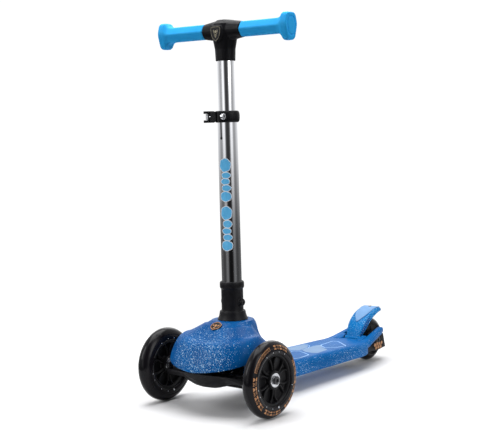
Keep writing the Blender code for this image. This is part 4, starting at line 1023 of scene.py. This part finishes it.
def front_bowl():
    """The black bowl under the nose, its rim following the nose's lower edge."""
    high = box("lower_cowl")[1]
    reach, depth, wall, back = 94, 53, 2, FRONT_Y - high.y
    end = high.x
    rings = []
    count = 64
    for index in range(count + 1):
        x = end * sin(pi * (index / count - 0.5))
        rim = depth * sqrt(1 - (x / reach) ** 2)
        top = spline([(0, 66.5), (40, 65.5), (60, 64.0), (83, 60.0)], abs(x))
        knee = min(top - 2, bowl_floor(x, rim - 3))
        outer = [(rim - 0.4, top), (rim, top - 0.5)]
        outer += [(rim - 0.6 * t - 0.4 * t ** 3, top + (knee - top) * t) for t in (0.25, 0.5, 0.75)]
        outer += [(rim - 1.2, knee + 1.0), (rim - 2.0, knee + 0.35), (rim - 3.2, knee)]
        inner = [(rim - wall, top), (rim - wall - 0.8, (top + knee) / 2), (rim - 5.6, knee + 0.8)]
        for step in range(11, -1, -1):
            y = back + (rim - 6 - back) * step / 11
            outer.append((y, bowl_floor(x, y)))
            inner.append((y, bowl_floor(x, y) + wall))
        if index in (0, 1, count - 1, count):
            inner = [(y, top) for y, _ in inner]
        rings.append([(x, FRONT_Y - y, z) for y, z in outer + inner[::-1]])
    bowl = piece("front_bowl", skin(rings), BLACK, "lower_cowl", 42)
    return bevelled(bowl, 0.5, 2, 60)


def front_end():
    front_bowl()
    from_node("front_axle_beam", "axle_beam", BLACK, 0.7, 6)
    from_node("inner_frame", "steering_housing", BLACK, 1.0, 6)
    for _, word in SIDES:
        from_node("steering_knuckle_" + word, "knuckle_" + word, BLACK, 0.5, 5)
        low, high, spot = box("kingpin_" + word)
        centre = Vector((spot.x, spot.y, 0))
        head = socket_head(centre + Vector((0, 0, low.z + 1.8)), "Z", -1, 4.4, 1.8, 2.2, 1.2)
        shank = lathe([(0, low.z + 1.8), (2.95, low.z + 1.8), (2.95, high.z - 0.5), (2.5, high.z),
                (0, high.z)], centre, "Z", 32)
        piece("king_pin_" + word, join(head, shank), DARK_STEEL, "kingpin_" + word, 30)
        low, high, spot = box("lean_spring_" + word)
        coil = spring(Vector((spot.x, spot.y, 0)), "Z", 6.0, 1.15, low.z + 1.2, high.z - 1.2, 4)
        made = piece("lean_coil_" + word, coil, DARK_STEEL, "lean_spring_" + word, 60)
        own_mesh(made)
    from_node("steering_tie_rod", "tie_rod", DARK_STEEL, 0.45, 4, slot="black_steel")


def lean_axis():
    low, high, spot = box("lean_pin")
    centre = Vector((0, 0, spot.z))
    rows = [(5.0, 0), (5.2, 0.3), (6.3, 1.0), (6.5, 1.4), (6.5, 3.8), (5.0, 3.8)]
    head = [(0, low.y)] + [(r, low.y + h) for r, h in rows]
    pin = head + [(4.95, high.y - 0.6), (4.4, high.y), (0, high.y)]
    piece("lean_axis_pin", lathe(pin, centre, "Y", 40), DARK_STEEL, "lean_pin", 30)
    low, high, _ = box("lean_bush")
    bush = turned(low.y, high.y, 5.1, 6.2, 0.3, 0.4)
    piece("lean_axis_bush", lathe(bush, centre, "Y", 48, hollow=True), BRONZE, "lean_bush", 30)
    low, high, _ = box("lean_nut")
    nut = hexagon_nut(centre, "Y", 6.5, 5.15, low.y, high.y)
    piece("lean_axis_nut", nut, ZINC, "lean_nut", 30)
    low, high, spot = box("drive_pin")
    pin = [(0, low.z), (2.2, low.z), (2.6, low.z + 0.5), (2.6, 77.0), (4.6, 77.0), (5.0, 77.4),
            (5.0, high.z), (0, high.z)]
    piece("steering_drive_pin", lathe(pin, (0, spot.y, 0), "Z", 32), DARK_STEEL, "drive_pin", 30)


# ---- column ----------------------------------------------------------------------------------
def column_socket():
    foot = HOOD_TOP + 0.3
    rows = [(0, 106.0), (20.4, 106.0), (21.0, 106.6), (21.0, foot), (24.3, foot), (24.7, foot + 0.5),
            (24.5, 138.6), (23.4, 140.6), (22.3, 143.0), (21.5, 146.2), (21.0, 149.4), (20.6, 151.0),
            (20.1, 151.6), (19.2, 151.8), (18.2, 152.0), (17.9, 152.6), (17.7, 153.6), (17.7, 186.0),
            (17.9, 187.2), (18.6, 188.0), (19.2, 188.8), (19.6, 190.2), (19.7, 193.6), (19.6, 196.6),
            (19.1, 198.2), (18.3, 199.0), (17.2, 199.2), (16.6, 198.9), (16.35, 198.2), (16.3, 112.0),
            (0, 112.0)]
    made = lathe(rows, (0, COLUMN_Y, 0), "Z", 96)
    piece("column_cup", made, BLACK, "column_socket", 35)
    height = box("release_button")[2].z
    boss = [(4.2, 16.9), (6.9, 16.9), (6.9, 18.2), (6.5, 18.9), (6.0, 19.1), (4.5, 19.1), (4.2, 18.8)]
    piece("button_boss", lathe(boss, (0, COLUMN_Y, height), "X", 48, hollow=True), BLACK, "chassis")
    back = [(0, -16.9), (6.6, -16.9), (6.6, -18.2), (6.1, -18.9), (4.9, -19.2), (4.2, -18.9), (0, -18.8)]
    piece("button_boss_right", lathe(back, (0, COLUMN_Y, height), "X", 48), BLACK, "chassis")
    low, high, _ = box("release_button")
    cap = [(0, 19.3), (3.6, 19.3), (3.8, 19.5), (3.8, 21.0), (5.0, 21.0), (5.2, 20.6), (5.6, 20.9),
            (5.6, 21.7), (5.1, 22.4), (4.2, high.x), (3.4, high.x - 0.1), (2.8, high.x - 0.5),
            (0, high.x - 0.7)]
    piece("push_button", lathe(cap, (0, COLUMN_Y, height), "X", 48), BADGE_BLACK, "release_button", 35)
    low, high, _ = box("button_spring")
    turns = spring(Vector((0, COLUMN_Y, height)), "X", 4.5, 0.15, low.x + 0.15, high.x - 0.15, 2)
    made = piece("button_coil", turns, DARK_STEEL, "button_spring", 60)
    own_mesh(made)


def carve(made, tool):
    """Cuts a helper mesh out of a piece for good."""
    cut = made.modifiers.new("cut", "BOOLEAN")
    cut.operation = "DIFFERENCE"
    cut.solver = "EXACT"
    cut.object = tool
    bpy.context.view_layer.update()
    result = bpy.data.meshes.new_from_object(made.evaluated_get(bpy.context.evaluated_depsgraph_get()))
    made.modifiers.clear()
    made.data = result
    result.shade_smooth()
    result.set_sharp_from_angle(angle=radians(30))
    bpy.data.objects.remove(tool, do_unlink=True)


def tube_rows(outer, bore, low, high):
    edge = 0.35
    return [(bore, low + edge), (bore + edge, low), (outer - edge, low), (outer, low + edge),
            (outer, high - edge), (outer - edge, high), (bore + edge, high), (bore, high - edge)]


def column_tubes():
    centre = (0, COLUMN_Y, 0)
    low, high, _ = box("lower_tube")
    lower = piece("outer_tube", lathe(tube_rows(16.0, 14.3, low.z, high.z), centre, "Z", 128, hollow=True),
            CHROME, "lower_tube", 30)
    slit_foot = 429.3
    round_end = [(2.3 * cos(t), slit_foot + 2.3 * sin(t)) for t in (radians(121.5 + 297 * i / 24)
            for i in range(25))]
    keyhole = round_end + [(1.2, 490), (-1.2, 490)]
    tool = piece("slit_tool", swept(keyhole, COLUMN_Y - 24, COLUMN_Y - 8, "Y"), CHROME, None)
    carve(lower, tool)
    low, high, _ = box("upper_tube")
    piece("inner_tube", lathe(tube_rows(13.8, 12.3, low.z, high.z), centre, "Z", 128, hollow=True), CHROME,
            "upper_tube", 30)
    # A black sleeve inside the lower tube behind the slit: a plastic bushing, its black also the painted
    # shade of the slit.
    shim = [(13.88, 418), (14.22, 418), (14.22, 471), (13.88, 471)]
    piece("tube_shim_and_slit_shade", lathe(shim, centre, "Z", 96, hollow=True), BLACK, "column")


def column_place(u, v, height):
    """A point over the lower tube's front: u round it from the middle, v the height above the ground."""
    reach = 16.0 + height
    turn = radians(19) + u / 16.0
    return Vector((reach * sin(turn), COLUMN_Y - reach * cos(turn), v))


def column_print():
    """A run of plain pebbles down the lower tube's front, sky blue with a white edge."""
    random.seed(7)
    blue, white = [], []
    level = 398
    sizes = (11.5, 5.2, 5.2, 5.6, 8.4, 0, 11.5, 6.6, 5.2, 5.4, 8.4)
    for index, size in enumerate(sizes):
        if not size:
            level -= 7
            continue
        heart = level - size
        wide = 10.4 if size > 8 else 8.6
        shift = 1.0 if index % 2 else -0.6
        sides = 6 if size > 8 else 5
        turn = random.uniform(0, 1.0)
        corners = [(shift + wide * cos(turn + 2 * pi * i / sides),
                heart + size * sin(turn + 2 * pi * i / sides)) for i in range(sides)]
        shape = fillet(corners, 3.4, 5)
        blue.append(plate(shape, column_place, 0.24, 0.05))
        white.append(plate(outset(shape, 1.1), column_place, 0.14, 0.10))
        level -= 2 * size - 0.5
    piece("column_print_edge", join(*white), WHITE_PRINT, "column")
    piece("column_print_fill", join(*blue), SKY_PRINT, "column")


def plugs():
    centre = (0, COLUMN_Y, 0)
    low, high, _ = box("column_foot_plug")
    foot = [(0, low.z), (15.2, low.z), (15.8, low.z + 0.6), (15.8, 114.7), (13.8, 114.7),
            (13.8, high.z - 0.6), (13.0, high.z), (0, high.z)]
    piece("foot_plug", lathe(foot, centre, "Z", 64), BLACK, "column_foot_plug", 30)
    low, high, _ = box("tube_guide_plug")
    guide = [(0, low.z), (13.4, low.z), (13.9, low.z + 0.5), (13.9, 274.7), (11.9, 274.7),
            (11.9, high.z - 0.5), (11.2, high.z), (0, high.z)]
    piece("guide_plug", lathe(guide, centre, "Z", 64), BLACK, "tube_guide_plug", 30)


def clamp():
    half = [(16.3, 9.35), (16.9, 9.35), (17.8, 9.0), (18.8, 8.0), (19.6, 6.2), (20.0, 3.6), (20.15, 0)]
    rows = half + [(r, -z) for r, z in reversed(half[:-1])]
    ring = lathe(rows, (0, COLUMN_Y, CAM.z), "Z", 96, hollow=True)
    ears = [(-13, -14.5), (-13, -27.5), (7.5, -27.5), (7.5, -16.6), (0, -17.2), (-7, -15.9)]
    block = swept(fillet([(x, COLUMN_Y + y) for x, y in ears], [0, 1.2, 1.2, 0, 0, 0], 3), CAM.z - 8.3,
            CAM.z + 8.3, "Z")
    collar = piece("clamp_collar", join(ring, block), BLACK, "clamp_band")
    moulded(collar, 0.45, 6)
    slit = [(-1.0, COLUMN_Y - 40), (2.0, COLUMN_Y - 40), (2.0, COLUMN_Y - 10), (-1.0, COLUMN_Y - 10)]
    carve(collar, piece("slit_tool", swept(slit, CAM.z - 20, CAM.z + 20, "Z"), BLACK, None))
    from_node("quick_lever", "clamp_lever", BLACK, 0.4, 6)
    low, high, _ = box("clamp_bolt")
    centre = Vector((0, CAM.y, CAM.z))
    shank = lathe([(0, low.x), (2.45, low.x), (2.45, 8.0), (0, 8.0)], centre, "X", 32)
    head = socket_head(centre + Vector((7.9, 0, 0)), "X", 1, 4.9, high.x - 8.2, 2.2, 1.6)
    piece("clamp_screw", join(shank, head), ZINC, "clamp_bolt", 30)
    low, high, _ = box("cam_barrel")
    post = [(0, low.z), (1.7, low.z), (1.95, low.z + 0.3), (1.95, CAM.z - 4.6), (3.7, CAM.z - 4.6),
            (4.0, CAM.z - 4.3), (4.0, CAM.z + 4.3), (3.7, CAM.z + 4.6), (1.95, CAM.z + 4.6),
            (1.95, high.z - 0.3), (1.7, high.z), (0, high.z)]
    piece("cam_post", lathe(post, (CAM.x, CAM.y, 0), "Z", 40), ZINC, "cam_barrel", 30)


# ---- handlebar ---------------------------------------------------------------------------------
def tee():
    from_node("bar_tee", "bar_joint", BLACK, 0.6, 12)
    centre = box("bar_badge")[2]
    face = box("bar_badge")[1].y

    def place(u, v, height):
        return Vector((u, face - height, centre.z + v))

    half = [(0.0, -12.3), (6.5, -7.3), (10.0, 0.2), (10.5, 8.2), (8.5, 12.2)]
    shield = half + [(-x, z) for x, z in reversed(half[1:])]
    soft = wound(fillet(shield, [0.8] + [3] * 8, 4))
    base = plate(soft, place, 0.85, 0.2, (1.0, 0.9))
    piece("badge_plate", base, BADGE_BLACK, "bar_badge", 30)
    piece("badge_rim", stroke(outset(soft, -1.1), 0.42, place, 1.0, -0.6), BRASS, "handlebar")
    marks = [plate(regular(6, 2.3, 0.52, (0, 3.6)), place, 1.05, -0.7)]
    for side in (-1, 1):
        marks.append(plate(wound([(side * 3.4, 1.4), (side * 4.6, 5.6), (side * 3.4, 7.0),
                (side * 2.6, 3.4)]), place, 1.05, -0.7))
    for level, reach in ((-0.6, 3.4), (-2.8, 2.6), (-5.0, 1.7)):
        chevron = [(-reach, level + 0.9), (0, level - 0.7), (reach, level + 0.9), (reach, level + 1.8),
                (0, level + 0.3), (-reach, level + 1.8)]
        marks.append(swept_chevron(chevron, place))
    piece("badge_marks", join(*marks), BRASS, "handlebar")


def swept_chevron(outline, place):
    return skin([[place(u, v, height) for u, v in outline] for height in (0.7, 1.05)])


def grip(side, word):
    """A soft six-sided sleeve that flares into an end knob with a recessed line round its face."""
    flat = 11.8
    r = 2 * flat / sqrt(3)
    hexagon = fillet([(r, 0), (r / 2, flat), (-r / 2, flat), (-r, 0), (-r / 2, -flat), (r / 2, -flat)], 2.6,
            5)
    knob = fillet([(16, 2), (11, 19.7), (-11, 19.7), (-16, 2), (-9, -23), (9, -23)], [6] * 6, 5)
    low, high, _ = box("grip_" + word)
    start, end = (low.x, high.x) if side > 0 else (-high.x, -low.x)
    stations = [(start, 0, 0.80), (start + 0.1, 0, 0.93), (start + 0.9, 0, 0.995), (start + 2.0, 0, 1.0),
            (60, 0, 1.0), (85, 0, 1.0), (105, 0, 1.0), (109.5, 0.025, 1.0), (112.5, 0.09, 1.0),
            (115, 0.22, 1.0), (117.2, 0.42, 1.0), (119, 0.66, 1.0), (120.4, 0.86, 1.0), (121.6, 0.965, 1.0),
            (122.8, 1.0, 1.0), (128, 1.0, 1.0), (129.6, 1.0, 0.992), (130.8, 1.0, 0.968),
            (end - 0.25, 1.0, 0.93), (end, 1.0, 0.885), (end, 1.0, 0.70), (end - 0.1, 1.0, 0.672),
            (end - 0.75, 1.0, 0.655), (end - 0.75, 1.0, 0.630), (end - 0.1, 1.0, 0.612), (end, 1.0, 0.59),
            (end, 1.0, 0.30)]

    def bore(x):
        return [(side * x, COLUMN_Y + 9.9 * cos(t), BAR_Z + 9.9 * sin(t))
                for t in (atan2(z, y) for y, z in hexagon)]

    rings = [bore(102.5), bore(start)]
    for x, share, scale in stations:
        rings.append([(side * x, COLUMN_Y + (h[0] + (k[0] - h[0]) * share) * scale,
                BAR_Z + (h[1] + (k[1] - h[1]) * share) * scale) for h, k in zip(hexagon, knob)])
    piece("grip_sleeve_" + word, skin(rings), GRIP_BLUE, "grip_" + word, 32)


def bar_core():
    low, high, _ = box("bar_core")
    rows = tube_rows(9.5, 8.1, low.x, high.x)
    piece("cross_bar", lathe(rows, (0, COLUMN_Y, BAR_Z), "X", 64, hollow=True), ZINC, "bar_core", 30)


# ---- studio ------------------------------------------------------------------------------------
FLOOR_RADII = (20, 200, 400, 560)
FLOOR_SIDES = 96
FLOOR_Z = -0.05


def floor():
    rings = []
    for radius in FLOOR_RADII:
        circle = regular(FLOOR_SIDES, radius)
        rings.append([(x, y, FLOOR_Z) for x, y in circle])
    verts, faces = skin(rings, caps=False)
    faces.append(tuple(range(FLOOR_SIDES)))
    made = piece("studio_floor", (verts, faces), FLOOR, None)
    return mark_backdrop(made)


def camera():
    """The camera, at the height, bearing and tilt that the object is looked at from."""
    yaw, pitch, roll = radians(38.827), radians(4.7044), radians(-1.5484)
    forward = Vector((-sin(yaw) * cos(pitch), cos(yaw) * cos(pitch), -sin(pitch)))
    right = Vector((cos(yaw), sin(yaw), 0))
    up = right.cross(forward)
    across = right * cos(roll) + up * sin(roll)
    upwards = up * cos(roll) - right * sin(roll)
    lens = bpy.data.cameras.new("camera")
    lens.lens = 82.0
    lens.sensor_width = 36.0
    made = bpy.data.objects.new("camera", lens)
    bpy.context.collection.objects.link(made)
    place = Matrix((across, upwards, -forward)).transposed().to_4x4()
    place.translation = Vector((1.17335, -1.56762, 0.45547))
    made.matrix_world = place
    bpy.context.scene.camera = made


def softbox(name, place, target, size, power):
    light = bpy.data.lights.new(name, "AREA")
    light.shape = "RECTANGLE"
    light.size, light.size_y = size
    light.energy = power
    made = bpy.data.objects.new(name, light)
    made.location = place
    made.rotation_euler = (Vector(target) - Vector(place)).to_track_quat("-Z", "Y").to_euler()
    bpy.context.collection.objects.link(made)


def surroundings():
    """A white backdrop, and for reflections a studio with two bright walls beside a dark gap."""
    world = bpy.data.worlds.new("studio")
    bpy.context.scene.world = world
    world.use_nodes = True
    tree = world.node_tree
    tree.nodes.clear()

    def node(kind, output=0, inputs=(), **settings):
        return add_node(tree, kind, output, inputs, **settings)

    parts = node("ShaderNodeSeparateXYZ", "X", {0: node("ShaderNodeTexCoord", "Generated")}).node.outputs
    flat = node("ShaderNodeCombineXYZ", 0, {"X": parts["X"], "Y": parts["Y"]})
    unit = node("ShaderNodeVectorMath", 0, {0: flat}, operation="NORMALIZE")
    toward = node("ShaderNodeVectorMath", "Value", {0: unit, 1: (0.641, -0.767, 0)},
            operation="DOT_PRODUCT")
    share = node("ShaderNodeMapRange", "Result", {"Value": toward, "From Min": -1.0, "From Max": 1.0})
    walls = node("ShaderNodeValToRGB", "Color", {"Fac": share})
    ramp = walls.node.color_ramp
    ramp.interpolation = "LINEAR"
    stops = ((0.00, 0.86), (0.12, 0.80), (0.29, 0.62), (0.44, 0.46), (0.52, 0.34), (0.68, 0.36),
            (0.745, 0.62), (0.80, 1.0), (0.85, 1.0), (0.905, 1.0), (0.93, 0.66), (0.953, 0.26),
            (0.975, 0.07), (1.0, 0.04))
    while len(ramp.elements) < len(stops):
        ramp.elements.new(0.5)
    for element, (place, level) in zip(ramp.elements, stops):
        element.position = place
        element.color = (level, level, level * 1.01, 1)
    lower = node("ShaderNodeMapRange", "Result", {"Value": parts["Z"], "From Min": -0.115, "From Max": 0.02,
            "To Min": 0.16, "To Max": 1.25}, interpolation_type="SMOOTHSTEP")
    glow = node("ShaderNodeVectorMath", 0, {0: walls, "Scale": lower}, operation="SCALE")
    seen = node("ShaderNodeLightPath").node.outputs
    strength = node("ShaderNodeMapRange", "Result", {"Value": seen["Is Diffuse Ray"], "To Min": 1.0,
            "To Max": 0.30})
    studio_light = node("ShaderNodeBackground", 0, {"Color": glow, "Strength": strength})
    backdrop = node("ShaderNodeBackground", 0, {"Color": (1.05, 1.05, 1.05)})
    mixed = node("ShaderNodeMixShader", 0, {0: seen["Is Camera Ray"], 1: studio_light, 2: backdrop})
    tree.links.new(mixed, tree.nodes.new("ShaderNodeOutputWorld").inputs["Surface"])


def studio():
    bpy.context.scene.view_settings.view_transform = "Standard"
    surroundings()
    floor()
    softbox("top_light", (-0.12, 0.12, 2.2), (0, 0, 0), (2.1, 2.1), 58)
    softbox("left_light", (-1.3, -2.0, 1.5), (0, 0, 0.3), (1.0, 1.6), 25)
    softbox("right_light", (2.3, -0.2, 1.3), (0, 0, 0.3), (1.0, 1.6), 17)
    softbox("back_light", (-1.2, 2.2, 1.7), (0, 0, 0.25), (1.4, 1.4), 12)


# ---- everything --------------------------------------------------------------------------------
def build():
    camera()
    studio()
    hood()
    nose_badge()
    for side, word in SIDES:
        front_wheel(side, word)
        grip(side, word)
    front_end()
    lean_axis()
    deck()
    deck_screws()
    brake_pedal()
    brake_tread()
    rear_bracket()
    rear_wheel()
    rear_hardware()
    column_socket()
    column_tubes()
    column_print()
    plugs()
    clamp()
    tee()
    bar_core()


build()
